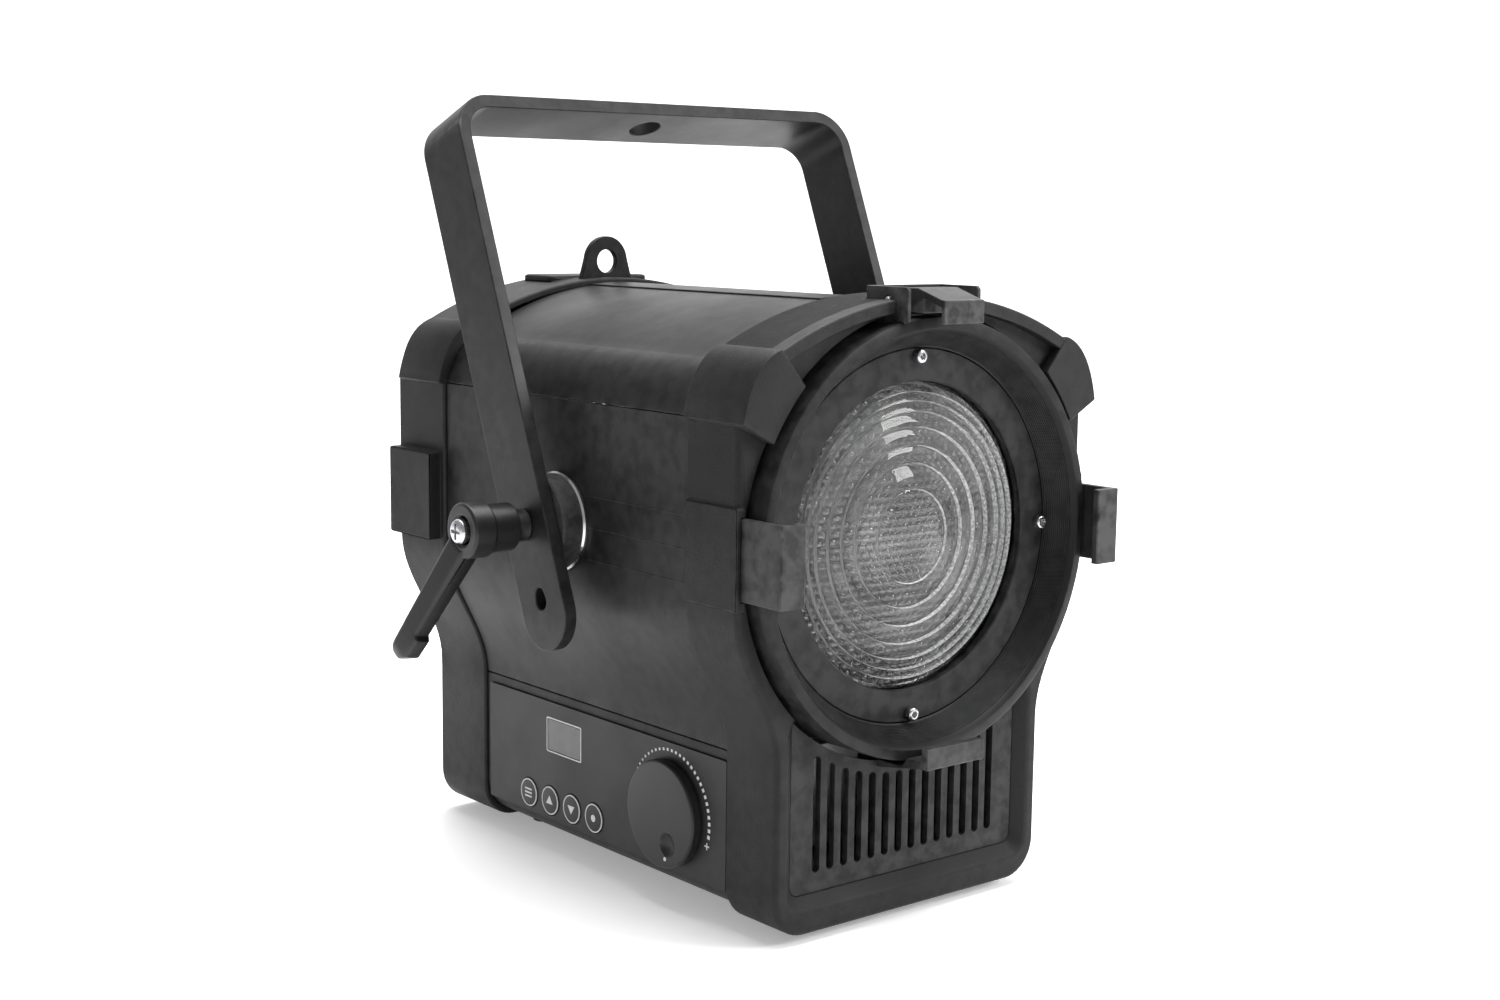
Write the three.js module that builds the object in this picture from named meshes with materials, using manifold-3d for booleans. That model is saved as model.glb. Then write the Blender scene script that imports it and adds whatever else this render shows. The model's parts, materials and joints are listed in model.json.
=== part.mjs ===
// LED Fresnel spotlight: a cast housing with a ringed Fresnel lens, a zoom knob that
// drives the LED carriage through a rack, and a bail yoke held by two clamping levers.
// Millimetres. X is to the right seen from the front, Y runs back, Z is up.
// The drawing frame has its origin on the lens axis, at the front of the lens retainer.
import * as THREE from 'three';
import { mergeVertices } from 'three/addons/utils/BufferGeometryUtils.js';
import Module from 'manifold-3d';

const wasm = await Module();
wasm.setup();

// ---- driving dimensions ----
const AXIS_HEIGHT = 150; // lens axis above the surface it stands on
const DEPTH_CENTRE = 103.65; // middle of the whole depth, drawing frame
const GAP = 0.3; // clearance between touching pieces

const BEZEL = {
  apexZ: 92.6, roofRadius: 160, shoulderX: 74.3, pull: [87.5, 70],
  sideX: 90, earX: 91.5, eaveZ: 49, baseX: 70, bottomZ: -146.7,
};
const SHELL = {
  apexZ: 90, roofRadius: 138, shoulderX: 72, pull: [84.5, 65.5],
  sideX: 88.5, earX: 88.5, eaveZ: 49, baseX: 68.6, bottomZ: -144,
};
const HIP_Z = -20; // where the sides start to draw in
const WAIST_Z = -80; // where the narrow base starts
const BASE_CORNER = 15.5;
const FRONT_FACE = -3.5;
const EAR_FACE = -8.3;
const FRONT_BEZEL_REAR = 26;
const REAR_BEZEL_FRONT = 196;
const REAR_BEZEL_REAR = 233;
const SEAM_Z = -79.4; // between the side panels and the base tray
const BEZEL_WALL = 3;
const SHEET = 2;

const APERTURE = 60; // clear radius of the lens
const RETAINER_RADIUS = 72.6;
const RING_RADIUS = 85;
const RING_LIP = 80.5;
const RING_FRONT = -11.5;
const RING_OPENING = 87.5;
const SCREW_CIRCLE = 69.5;
const LENS_EDGE = 63.5;

const PIVOT_Y = 110.5;
const YOKE_OUTER = 105.3; // outer face of an arm
const YOKE_BAR = 5.5; // thickness of the flat bar
const YOKE_WIDTH = 30;
const YOKE_REACH = 176; // pivot to the top of the crossbar
const YOKE_TAIL = 50.8; // pivot to the rounded end of an arm
const YOKE_CORNER = 17;
const YOKE_LEAN = THREE.MathUtils.degToRad(22);

const KNOB_Y = 61.7;
const KNOB_Z = -111.3;
const KNOB_RADIUS = 21.5;
const PANEL_X = -69.6; // outer face of the control panel
const KEY_Z = -126.2;
const KEY_Y = [161.3, 145.2, 129.1, 113.0];
const KEY_RADIUS = 6.3;
const GEAR_MODULE = 1;
const PINION_TEETH = 18;
const PINION_RADIUS = GEAR_MODULE * PINION_TEETH / 2;
const RACK_X = [-60, -52];

const ROD_X = 66;
const ROD_Z = -45;
const ROD_RADIUS = 3;
const CLIP_HALF = 15;
const CLIP_OUTER = 88.6; // lens axis to a clip's outer face
const CLIP_FRONT = -26;
const CLIP_REAR = 13;
const PAD_HALF = 19; // half height of the raised pads on the bezels' sides
const BRACKET_HALF = 19;
const BRACKET_REAR = 8.8;
const LATCH_PIN = { y: -3, z: 91, radius: 1.5 };
const FAN_Y = [200.5, 225.5];
const REAR_PANEL_Y = [228, 231];

// ---- materials ----
const paint = (color, roughness, metalness = 0.1) =>
  new THREE.MeshStandardMaterial({ color, roughness, metalness, flatShading: true });
const castPaint = paint(0x2b2b2c, 0.75);
const sheetPaint = paint(0x222223, 0.55);
const trayPaint = paint(0x262627, 0.55);
const ringPaint = paint(0x2a2a2b, 0.5, 0.3);
const labelFilm = paint(0x3a3b3c, 0.5);
const blackPlastic = paint(0x1c1c1d, 0.5);
const keyFilm = paint(0x26262a, 0.45);
const yokePaint = paint(0x252526, 0.45, 0.4);
const clipPaint = paint(0x333334, 0.6, 0.3);
const zinc = paint(0xb8bbc0, 0.3, 0.9);
const steel = paint(0x8a8d92, 0.35, 0.9);
const aluminium = paint(0xa9adb2, 0.4, 0.8);
const glass = paint(0xd8e2e6, 0.08, 0);
const displayGlass = paint(0x303436, 0.15, 0);
const rubber = paint(0x171717, 0.9);
const fibre = paint(0x1f1d1b, 0.9);
const circuit = paint(0x1d4a30, 0.6);
const emitterYellow = paint(0xd9b53a, 0.5, 0);
const brightReflector = paint(0xd0d3d6, 0.15, 0.95);

// ---- solids ----
function solid(geometry) {
  const bare = geometry.clone();
  bare.deleteAttribute('normal');
  bare.deleteAttribute('uv');
  const merged = mergeVertices(bare, 1e-4);
  const corners = merged.index.array;
  const triVerts = [];
  for (let i = 0; i < corners.length; i += 3) {
    const [a, b, c] = [corners[i], corners[i + 1], corners[i + 2]];
    if (a !== b && b !== c && c !== a) triVerts.push(a, b, c);
  }
  return new wasm.Manifold(new wasm.Mesh({
    numProp: 3,
    vertProperties: merged.attributes.position.array,
    triVerts: Uint32Array.from(triVerts),
  }));
}

const AXES = {
  x: [new THREE.Vector3(0, 1, 0), new THREE.Vector3(0, 0, 1), new THREE.Vector3(1, 0, 0)],
  y: [new THREE.Vector3(1, 0, 0), new THREE.Vector3(0, 0, 1), new THREE.Vector3(0, -1, 0)],
  z: [new THREE.Vector3(1, 0, 0), new THREE.Vector3(0, 1, 0), new THREE.Vector3(0, 0, 1)],
};

// An outline in (y, z), (x, z) or (x, y) pushed along X, Y or Z between two stations.
function extruded(axis, outline, from, to, curveSegments = 8) {
  const geometry = new THREE.ExtrudeGeometry(outline, {
    depth: to - from, bevelEnabled: false, curveSegments,
  });
  geometry.applyMatrix4(new THREE.Matrix4().makeBasis(...AXES[axis]));
  const start = axis === 'y' ? to : from;
  const shift = { x: 0, y: 0, z: 0 };
  shift[axis] = start;
  geometry.translate(shift.x, shift.y, shift.z);
  return solid(geometry);
}

function circle(radius, u = 0, v = 0) {
  const shape = new THREE.Shape();
  shape.absarc(u, v, radius, 0, 2 * Math.PI, false);
  return shape;
}

// A round bar along an axis; u and v are its centre across that axis.
function bar(axis, radius, from, to, u = 0, v = 0, curveSegments = 8) {
  return extruded(axis, circle(radius, u, v), from, to, curveSegments);
}

function block(x0, x1, y0, y1, z0, z1) {
  const geometry = new THREE.BoxGeometry(x1 - x0, y1 - y0, z1 - z0);
  geometry.translate((x0 + x1) / 2, (y0 + y1) / 2, (z0 + z1) / 2);
  return solid(geometry);
}

// A [radius, station] profile turned about an axis line through (u, v).
function turned(axis, profile, segments = 32, u = 0, v = 0) {
  const points = profile.map(([radius, station]) => new THREE.Vector2(radius, station));
  const [firstRadius] = profile[0];
  if (firstRadius > 0) points.push(points[0].clone());
  if (THREE.ShapeUtils.area(points) < 0) points.reverse();
  const geometry = new THREE.LatheGeometry(points, segments);
  if (axis === 'x') geometry.rotateZ(-Math.PI / 2).translate(0, u, v);
  if (axis === 'y') geometry.translate(u, 0, v);
  if (axis === 'z') geometry.rotateX(Math.PI / 2).translate(u, v, 0);
  return solid(geometry);
}

// A square-cornered ring: inner and outer radius between two stations.
function collar(axis, inner, outer, from, to, u = 0, v = 0, segments = 32) {
  return turned(axis, [[inner, from], [outer, from], [outer, to], [inner, to]], segments, u, v);
}

function roundedRectangle(u0, u1, v0, v1, radius) {
  const shape = new THREE.Shape();
  shape.moveTo(u0 + radius, v0);
  shape.absarc(u1 - radius, v0 + radius, radius, -Math.PI / 2, 0, false);
  shape.absarc(u1 - radius, v1 - radius, radius, 0, Math.PI / 2, false);
  shape.absarc(u0 + radius, v1 - radius, radius, Math.PI / 2, Math.PI, false);
  shape.absarc(u0 + radius, v0 + radius, radius, Math.PI, 1.5 * Math.PI, false);
  return shape;
}

function polygon(points) {
  return new THREE.Shape(points.map(([u, v]) => new THREE.Vector2(u, v)));
}

const addAll = (first, ...others) => others.reduce((sum, piece) => sum.add(piece), first);
const cutAll = (first, ...others) => others.reduce((rest, piece) => rest.subtract(piece), first);
const mirrored = (shape) => shape.mirror([1, 0, 0]);

// ---- the model's tree ----
const group = new THREE.Group();
const drawing = new THREE.Group();
drawing.position.set(0, -DEPTH_CENTRE, AXIS_HEIGHT);
group.add(drawing);

function place(name, shape, material, parent = drawing) {
  const { vertProperties, triVerts } = shape.getMesh();
  const geometry = new THREE.BufferGeometry();
  geometry.setAttribute('position', new THREE.BufferAttribute(vertProperties, 3));
  geometry.setIndex(new THREE.BufferAttribute(triVerts, 1));
  geometry.computeVertexNormals();
  const mesh = new THREE.Mesh(geometry, material);
  mesh.name = name;
  parent.add(mesh);
}

// ---- housing ----
// The housing's outline across the lens axis, drawn in by an inset.
function housingOutline(form, inset = 0, eaveX = form.sideX) {
  const roofCentreZ = form.apexZ - form.roofRadius;
  const halfAngle = Math.asin(form.shoulderX / form.roofRadius);
  const radius = form.roofRadius - inset;
  const shoulder = [radius * Math.sin(halfAngle), roofCentreZ + radius * Math.cos(halfAngle)];
  const [pullX, pullZ] = [form.pull[0] - inset, form.pull[1] - inset];
  const side = form.sideX - inset;
  const eave = eaveX - inset;
  const base = form.baseX - inset;
  const bottom = form.bottomZ + inset;
  const corner = BASE_CORNER - inset;
  const bend = (HIP_Z - WAIST_Z) * 0.37;
  const shape = new THREE.Shape();
  shape.moveTo(...shoulder);
  shape.absarc(0, roofCentreZ, radius, Math.PI / 2 - halfAngle, Math.PI / 2 + halfAngle, false);
  shape.quadraticCurveTo(-pullX, pullZ, -eave, form.eaveZ);
  shape.lineTo(-side, form.eaveZ - GAP);
  shape.lineTo(-side, HIP_Z);
  shape.bezierCurveTo(-side, HIP_Z - bend, -base, WAIST_Z + bend, -base, WAIST_Z);
  shape.lineTo(-base, bottom + corner);
  shape.absarc(-base + corner, bottom + corner, corner, Math.PI, 1.5 * Math.PI, false);
  shape.absarc(base - corner, bottom + corner, corner, 1.5 * Math.PI, 2 * Math.PI, false);
  shape.lineTo(base, WAIST_Z);
  shape.bezierCurveTo(base, WAIST_Z + bend, side, HIP_Z - bend, side, HIP_Z);
  shape.lineTo(side, form.eaveZ - GAP);
  shape.lineTo(eave, form.eaveZ);
  shape.quadraticCurveTo(pullX, pullZ, ...shoulder);
  return shape;
}

// The band in front of the front bezel: an arched lip with a corner ear at each end.
function archAndEars() {
  const lipRadius = BEZEL.roofRadius - 5;
  const lipEndX = 71.7;
  const [innerTopX, innerTopZ] = [63.4, 61.5];
  const [innerLowX, innerLowZ] = [77.5, 41];
  const [beyondX, beyondLowZ] = [100, 54];
  const roofCentreZ = BEZEL.apexZ - BEZEL.roofRadius;
  const [from, to] = [EAR_FACE - 1, FRONT_BEZEL_REAR + 1];
  const full = extruded('y', housingOutline(BEZEL, 0, BEZEL.earX), EAR_FACE, FRONT_BEZEL_REAR);
  const ringBore = bar('y', RING_OPENING + 0.5, from, to, 0, 0, 24);
  const halfAngle = Math.asin(lipEndX / lipRadius);
  const underLip = new THREE.Shape();
  underLip.moveTo(-innerTopX, innerTopZ);
  underLip.lineTo(-innerTopX, 0);
  underLip.lineTo(innerTopX, 0);
  underLip.lineTo(innerTopX, innerTopZ);
  underLip.absarc(0, roofCentreZ, lipRadius, Math.PI / 2 - halfAngle, Math.PI / 2 + halfAngle, false);
  const belowEars = polygon([
    [-beyondX, -160], [beyondX, -160], [beyondX, beyondLowZ],
    [innerLowX, innerLowZ], [-innerLowX, innerLowZ], [-beyondX, beyondLowZ],
  ]);
  return cutAll(full, ringBore, extruded('y', underLip, from, 0), extruded('y', belowEars, from, to));
}

function ventSlots(depthFrom, depthTo) {
  const count = 14;
  const pitch = 7.12;
  const halfWidth = 1.85;
  const bottomZ = -124.7;
  const topRadius = 92;
  const slots = [];
  for (let i = 0; i < count; i += 1) {
    const x = (i - (count - 1) / 2) * pitch;
    const topZ = -Math.sqrt(topRadius ** 2 - x ** 2);
    const slot = roundedRectangle(x - halfWidth, x + halfWidth, bottomZ, topZ, halfWidth - 0.01);
    slots.push(extruded('y', slot, depthFrom, depthTo, 2));
  }
  return slots;
}

// A shallow tapering recess in the base's front, deepest behind its sloping border.
function baseRecess(floorY) {
  const mouth = [[-65.5, -138], [65.5, -138], [68, -76], [-68, -76]];
  const floor = [[-59, -132], [59, -132], [60, -76], [-60, -76]];
  const rings = [
    [FRONT_FACE - 1, mouth],
    [FRONT_FACE, mouth],
    [floorY, floor],
  ];
  const positions = rings.flatMap(([y, corners]) => corners.flatMap(([x, z]) => [x, y, z]));
  const index = [];
  for (let ring = 0; ring < rings.length - 1; ring += 1) {
    for (let k = 0; k < 4; k += 1) {
      const a = ring * 4 + k;
      const b = ring * 4 + (k + 1) % 4;
      index.push(a, b, b + 4, a, b + 4, a + 4);
    }
  }
  index.push(0, 2, 1, 0, 3, 2);
  const last = (rings.length - 1) * 4;
  index.push(last, last + 1, last + 2, last, last + 2, last + 3);
  const geometry = new THREE.BufferGeometry();
  geometry.setAttribute('position', new THREE.Float32BufferAttribute(positions, 3));
  geometry.setIndex(index.reverse());
  return solid(geometry);
}

function sidePads(x, from, to) {
  const left = block(-x, -BEZEL.sideX + BEZEL_WALL, from, to, -PAD_HALF, PAD_HALF);
  return left.add(mirrored(left));
}

function frontBezel() {
  const frontWall = 4;
  const body = extruded('y', housingOutline(BEZEL), FRONT_FACE, FRONT_BEZEL_REAR);
  const hollow = extruded('y', housingOutline(BEZEL, BEZEL_WALL), frontWall, FRONT_BEZEL_REAR + 1);
  const padded = addAll(body, archAndEars(), sidePads(91.2, FRONT_FACE - 0.8, FRONT_BEZEL_REAR));
  const ringBore = bar('y', RING_OPENING, EAR_FACE - 1, frontWall + 1, 0, 0, 24);
  const clipSlot = block(-CLIP_OUTER - GAP, -70, EAR_FACE - 1, CLIP_REAR + GAP,
    -CLIP_HALF - GAP, CLIP_HALF + GAP);
  const bottomClipSlot = block(-CLIP_HALF - GAP, CLIP_HALF + GAP, EAR_FACE - 1, CLIP_REAR + GAP,
    -CLIP_OUTER - GAP, -70);
  const bracketNotch = block(-BRACKET_HALF - 2 * GAP, BRACKET_HALF + 2 * GAP,
    EAR_FACE - 1, BRACKET_REAR + 2 * GAP, 80, 95);
  return cutAll(padded, hollow, ringBore, clipSlot, mirrored(clipSlot), bottomClipSlot,
    bracketNotch, baseRecess(1), ...ventSlots(FRONT_FACE, frontWall + 1));
}

function rearBezel() {
  const body = extruded('y', housingOutline(BEZEL, 0, BEZEL.earX), REAR_BEZEL_FRONT, REAR_BEZEL_REAR);
  const hollow = extruded('y', housingOutline(BEZEL, BEZEL_WALL),
    REAR_BEZEL_FRONT - 1, REAR_BEZEL_REAR + 1);
  const topPad = block(-27, 27, 208, 231, 90.5, 93.4);
  const eyeSlot = block(-14.8, 14.8, 202.2, 205.8, 80, 95);
  return cutAll(addAll(body, sidePads(95.5, 199, REAR_BEZEL_REAR), topPad), hollow, eyeSlot);
}

function shellSkin() {
  const from = FRONT_BEZEL_REAR + GAP;
  const to = REAR_BEZEL_FRONT - GAP;
  const outer = extruded('y', housingOutline(SHELL), from, to);
  return outer.subtract(extruded('y', housingOutline(SHELL, SHEET), from - 1, to + 1));
}

const clipToBand = (shape, lowZ, highZ) => shape.intersect(block(-120, 120, -40, 260, lowZ, highZ));

function topCover() {
  const ridge = block(-14, 14, 40.6, 190, 88.5, 90.6);
  return clipToBand(shellSkin(), SHELL.eaveZ + GAP / 2, 120).add(ridge);
}

function sidePanel() {
  const skin = clipToBand(shellSkin(), SEAM_Z + GAP, SHELL.eaveZ - GAP / 2);
  const left = skin.intersect(block(-120, 0, -40, 260, -120, 120));
  const boss = bar('x', 11, -87.5, -80, PIVOT_Y, 0);
  const studHole = bar('x', 4 + GAP, -95, -70, PIVOT_Y, 0, 6);
  return left.add(boss).subtract(studHole);
}

function baseTray() {
  const skin = clipToBand(shellSkin(), -150, SEAM_Z);
  const displayHole = block(-75, -60, 121.9, 148.8, -105.7, -89.3);
  const keyHoles = KEY_Y.map((y) => bar('x', KEY_RADIUS + 0.5, -75, -60, y, KEY_Z, 5));
  const shaftHole = bar('x', 3.6, -75, -60, KNOB_Y, KNOB_Z, 6);
  return cutAll(skin, displayHole, shaftHole, ...keyHoles);
}

function controlPanel() {
  const outline = roundedRectangle(26.6, 192.5, -134.7, -83.3, 1);
  const openings = KEY_Y.map((y) => circle(KEY_RADIUS + GAP, y, KEY_Z));
  openings.push(circle(3.6, KNOB_Y, KNOB_Z));
  openings.push(roundedRectangle(122.3, 148.4, -105.3, -89.7, 0.6));
  outline.holes = openings;
  return extruded('x', outline, PANEL_X, -SHELL.baseX - GAP, 8);
}

place('front_bezel', frontBezel(), castPaint);
place('rear_bezel', rearBezel(), castPaint);
place('top_cover', topCover(), sheetPaint);
const leftPanel = sidePanel();
place('side_panel_left', leftPanel, sheetPaint);
place('side_panel_right', mirrored(leftPanel), sheetPaint);
place('base_tray', baseTray(), trayPaint);
place('control_panel', controlPanel(), labelFilm);

// ---- feet ----
function foot(x, y) {
  const topZ = SHELL.bottomZ - GAP;
  const profile = [[0, -AXIS_HEIGHT], [4.6, -AXIS_HEIGHT], [5.2, -AXIS_HEIGHT + 1], [5.5, topZ], [0, topZ]];
  return turned('z', profile, 14, x, y);
}
const FOOT_X = 43.5;
const FEET = {
  front_left: [-FOOT_X, 36], front_right: [FOOT_X, 36],
  rear_left: [-FOOT_X, 189.5], rear_right: [FOOT_X, 189.5],
};
for (const [corner, [x, y]] of Object.entries(FEET)) {
  place(`foot_${corner}`, foot(x, y), rubber);
}

// ---- lens and its ring ----
function lensRing() {
  const profile = [
    [61, 10], [LENS_EDGE + 0.7, 10], [LENS_EDGE + 0.7, 2.8], [RETAINER_RADIUS + 0.3, 2.8],
    [RETAINER_RADIUS + 0.3, 0], [RING_LIP, RING_FRONT], [RING_RADIUS - 0.8, RING_FRONT],
    [RING_RADIUS, RING_FRONT + 0.8], [RING_RADIUS, 24], [82, 24], [82, 14], [61, 14],
  ];
  const ring = turned('y', profile, 48);
  return cutAll(ring, ...screwHoles(1.6, 1, 11));
}

function screwPlaces() {
  const quarter = Math.PI / 2;
  return [0, 1, 2, 3].map((k) => [SCREW_CIRCLE * Math.sin(k * quarter), SCREW_CIRCLE * Math.cos(k * quarter)]);
}

function screwHoles(radius, from, to) {
  return screwPlaces().map(([x, z]) => bar('y', radius, from, to, x, z, 4));
}

function lensRetainer() {
  const ring = collar('y', APERTURE, RETAINER_RADIUS, 0, 2.5, 0, 0, 48);
  return cutAll(ring, ...screwHoles(1.7, -1, 4));
}

function retainerScrew([x, z]) {
  const head = bar('y', 2.75, -3.1, -GAP, x, z, 5);
  const socket = bar('y', 1.4, -4, -1.4, x, z, 3);
  const shank = bar('y', 1.3, -GAP, 10, x, z, 3);
  return head.add(shank).subtract(socket);
}

// A stepped convex front over a flat, stippled back.
function fresnelLens() {
  const zones = [28, 35, 42, 48, 52, 55.5, 58.5];
  const front = 5.2; // plane the zones fall back to
  const dome = [[0, -0.6], [16, 0.8], [zones[0], front]];
  const steps = zones.slice(1).flatMap((outer, k) => {
    const rise = 2.2 + 0.25 * k;
    return [[zones[k] + 0.01, front - rise], [outer, front]];
  });
  const profile = [[0, 9.4], [LENS_EDGE, 9.4], [LENS_EDGE, front], ...steps.reverse(), ...dome.reverse()];
  return turned('y', profile, 40);
}

place('lens_ring', lensRing(), ringPaint);
place('lens_retainer', lensRetainer(), ringPaint);
['top', 'right', 'bottom', 'left'].forEach((side, k) => {
  place(`retainer_screw_${side}`, retainerScrew(screwPlaces()[k]), zinc);
});
place('lens_gasket', collar('y', APERTURE + 0.6, LENS_EDGE, 2.8, 4.9), rubber);
place('fresnel_lens', fresnelLens(), glass);

// ---- colour-frame clips ----
const CLIP_SEAT = -22.6; // rear face of a clip's hook, where a colour frame slides in
const CLIP_INNER = RING_RADIUS + 2 * GAP;

function clip(outline) {
  return extruded('z', polygon(outline), -CLIP_HALF, CLIP_HALF);
}

function sideClip() {
  return clip([
    [-CLIP_OUTER, CLIP_FRONT], [-77, CLIP_FRONT], [-77, CLIP_SEAT], [-CLIP_INNER, CLIP_SEAT],
    [-CLIP_INNER, CLIP_REAR], [-CLIP_OUTER, CLIP_REAR],
  ]);
}

// The lowest clip bends in past the ring, so its hook sits higher.
function bottomClip() {
  const hookOuter = 84.7;
  return clip([
    [-hookOuter, CLIP_FRONT], [-76.3, CLIP_FRONT], [-76.3, CLIP_SEAT], [-82, CLIP_SEAT],
    [-82, -14.5], [-CLIP_INNER, -12.2], [-CLIP_INNER, CLIP_REAR], [-CLIP_OUTER, CLIP_REAR],
    [-CLIP_OUTER, 0], [-hookOuter, -22],
  ]).rotate([0, -90, 0]);
}

function latchBracket() {
  const outline = polygon([
    [-14, 81.5], [BRACKET_REAR, 81.5], [BRACKET_REAR, 96.2], [-12.5, 96.2], [-14, 95],
  ]);
  const full = extruded('x', outline, -BRACKET_HALF, BRACKET_HALF);
  const inside = block(-BRACKET_HALF + 1.6, BRACKET_HALF - 1.6, -15, BRACKET_REAR - 3, 80, 100);
  const ringClearance = bar('y', RING_RADIUS + GAP, -20, 20, 0, 0, 24);
  const pinHole = bar('x', LATCH_PIN.radius + GAP, -20, 20, LATCH_PIN.y, LATCH_PIN.z, 5);
  return cutAll(full, inside, ringClearance, pinHole);
}

function topLatch() {
  const { y, z } = LATCH_PIN;
  const back = 4.6;
  const outline = new THREE.Shape();
  outline.moveTo(-24.5, 82.8);
  outline.lineTo(-21.3, 82.8);
  outline.lineTo(-21.3, 86.2);
  outline.lineTo(y, 86.4);
  outline.absarc(y, z, back, -Math.PI / 2, Math.PI / 2, false);
  outline.lineTo(-10, 95.8);
  outline.lineTo(-24.5, 91.1);
  const body = extruded('x', outline, -10.4, 10.4);
  return body.subtract(bar('x', LATCH_PIN.radius + GAP, -20, 20, y, z, 5));
}

const leftClip = sideClip();
place('frame_clip_left', leftClip, clipPaint);
place('frame_clip_right', mirrored(leftClip), clipPaint);
place('frame_clip_bottom', bottomClip(), clipPaint);
place('latch_bracket', latchBracket(), clipPaint);
place('top_latch', topLatch(), clipPaint);
place('latch_pin', bar('x', LATCH_PIN.radius, -19.4, 19.4, LATCH_PIN.y, LATCH_PIN.z, 5), steel);

// ---- safety eye ----
function safetyEye() {
  const holeZ = 99.8;
  const topRadius = 11.2;
  const baseHalf = 14.5;
  const outline = new THREE.Shape();
  outline.moveTo(-baseHalf, 86);
  outline.lineTo(baseHalf, 86);
  outline.lineTo(baseHalf, 89.4);
  outline.lineTo(topRadius, holeZ + 0.6);
  outline.absarc(0, holeZ, topRadius, 0, Math.PI, false);
  outline.lineTo(-baseHalf, 89.4);
  outline.holes = [circle(5.3, 0, holeZ)];
  const plate = extruded('y', outline, 202.5, 205.5);
  return plate.add(block(-14, 14, 202.6, 222, 86, 88.6));
}
place('safety_eye', safetyEye(), sheetPaint);

// ---- yoke, friction discs and clamping levers ----
function yokeShape() {
  const half = YOKE_WIDTH / 2;
  const inner = YOKE_OUTER - YOKE_BAR;
  const innerCorner = YOKE_CORNER - YOKE_BAR;
  const outline = new THREE.Shape();
  outline.moveTo(inner, -YOKE_TAIL);
  outline.lineTo(YOKE_OUTER, -YOKE_TAIL);
  outline.absarc(YOKE_OUTER - YOKE_CORNER, YOKE_REACH - YOKE_CORNER, YOKE_CORNER, 0, Math.PI / 2, false);
  outline.absarc(-YOKE_OUTER + YOKE_CORNER, YOKE_REACH - YOKE_CORNER, YOKE_CORNER,
    Math.PI / 2, Math.PI, false);
  outline.lineTo(-YOKE_OUTER, -YOKE_TAIL);
  outline.lineTo(-inner, -YOKE_TAIL);
  outline.absarc(-YOKE_OUTER + YOKE_CORNER, YOKE_REACH - YOKE_CORNER, innerCorner,
    Math.PI, Math.PI / 2, true);
  outline.absarc(YOKE_OUTER - YOKE_CORNER, YOKE_REACH - YOKE_CORNER, innerCorner,
    Math.PI / 2, 0, true);
  const bent = extruded('y', outline, -half, half, 4);
  const armSide = new THREE.Shape();
  armSide.moveTo(half, YOKE_REACH + 1);
  armSide.lineTo(-half, YOKE_REACH + 1);
  armSide.absarc(0, half - YOKE_TAIL, half, Math.PI, 2 * Math.PI, false);
  const rounded = bent.intersect(extruded('x', armSide, -YOKE_OUTER - 1, YOKE_OUTER + 1, 7));
  const pivotHole = bar('x', 4.4, -120, 120, 0, 0, 6);
  const spareHole = extruded('x', roundedRectangle(-3.6, 3.6, -34.2, -25.8, 3.5), -120, 120, 2);
  const hangHole = bar('z', 7, YOKE_REACH - 20, YOKE_REACH + 1, 0, 0, 7);
  return cutAll(rounded, pivotHole, spareHole, hangHole);
}

const yokeFrame = new THREE.Group();
yokeFrame.position.set(0, PIVOT_Y, 0);
yokeFrame.rotation.x = -YOKE_LEAN;
drawing.add(yokeFrame);
place('yoke', yokeShape(), yokePaint, yokeFrame);

// Spacing disc with a thin flange against the housing.
function frictionWasher() {
  const profile = [
    [4.5, -YOKE_OUTER + YOKE_BAR + GAP], [19.2, -YOKE_OUTER + YOKE_BAR + GAP], [19.2, -90.2],
    [20, -90.2], [20, -SHELL.sideX - GAP], [4.5, -SHELL.sideX - GAP],
  ];
  return turned('x', profile, 28, PIVOT_Y, 0);
}

const frictionDisc = frictionWasher();
place('friction_disc_left', frictionDisc, fibre);
place('friction_disc_right', mirrored(frictionDisc), fibre);

// Threaded stud with the collar that bears on the yoke and the splined end inside the lever.
function clampStud() {
  return addAll(
    bar('x', 4, -YOKE_OUTER - 1, -81, PIVOT_Y, 0, 6),
    bar('x', 6.5, -112, -YOKE_OUTER - GAP, PIVOT_Y, 0, 8),
    bar('x', 4.2, -121.5, -111, PIVOT_Y, 0, 6),
  );
}

const LEVER_LENGTH = 65;
const LEVER_DROOP = THREE.MathUtils.degToRad(58);
const LEVER_SPLAY = 12;
const LEVER_SCREW_RADIUS = 4.9;

// Drawn along +Y from the hub's axis, then turned to point down and back.
function leverGrip() {
  const root = 5.5;
  const tip = 4.4;
  const outline = new THREE.Shape();
  outline.moveTo(0, -root);
  outline.lineTo(LEVER_LENGTH - 12, -tip);
  outline.lineTo(LEVER_LENGTH - 9, -tip - 1.6);
  outline.absarc(LEVER_LENGTH - tip, 0, tip + 1.2, -Math.PI / 2.6, Math.PI / 2, false);
  outline.lineTo(0, root);
  return extruded('x', outline, -3.5, 3.5, 5).rotate([0, 0, LEVER_SPLAY]);
}

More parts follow.
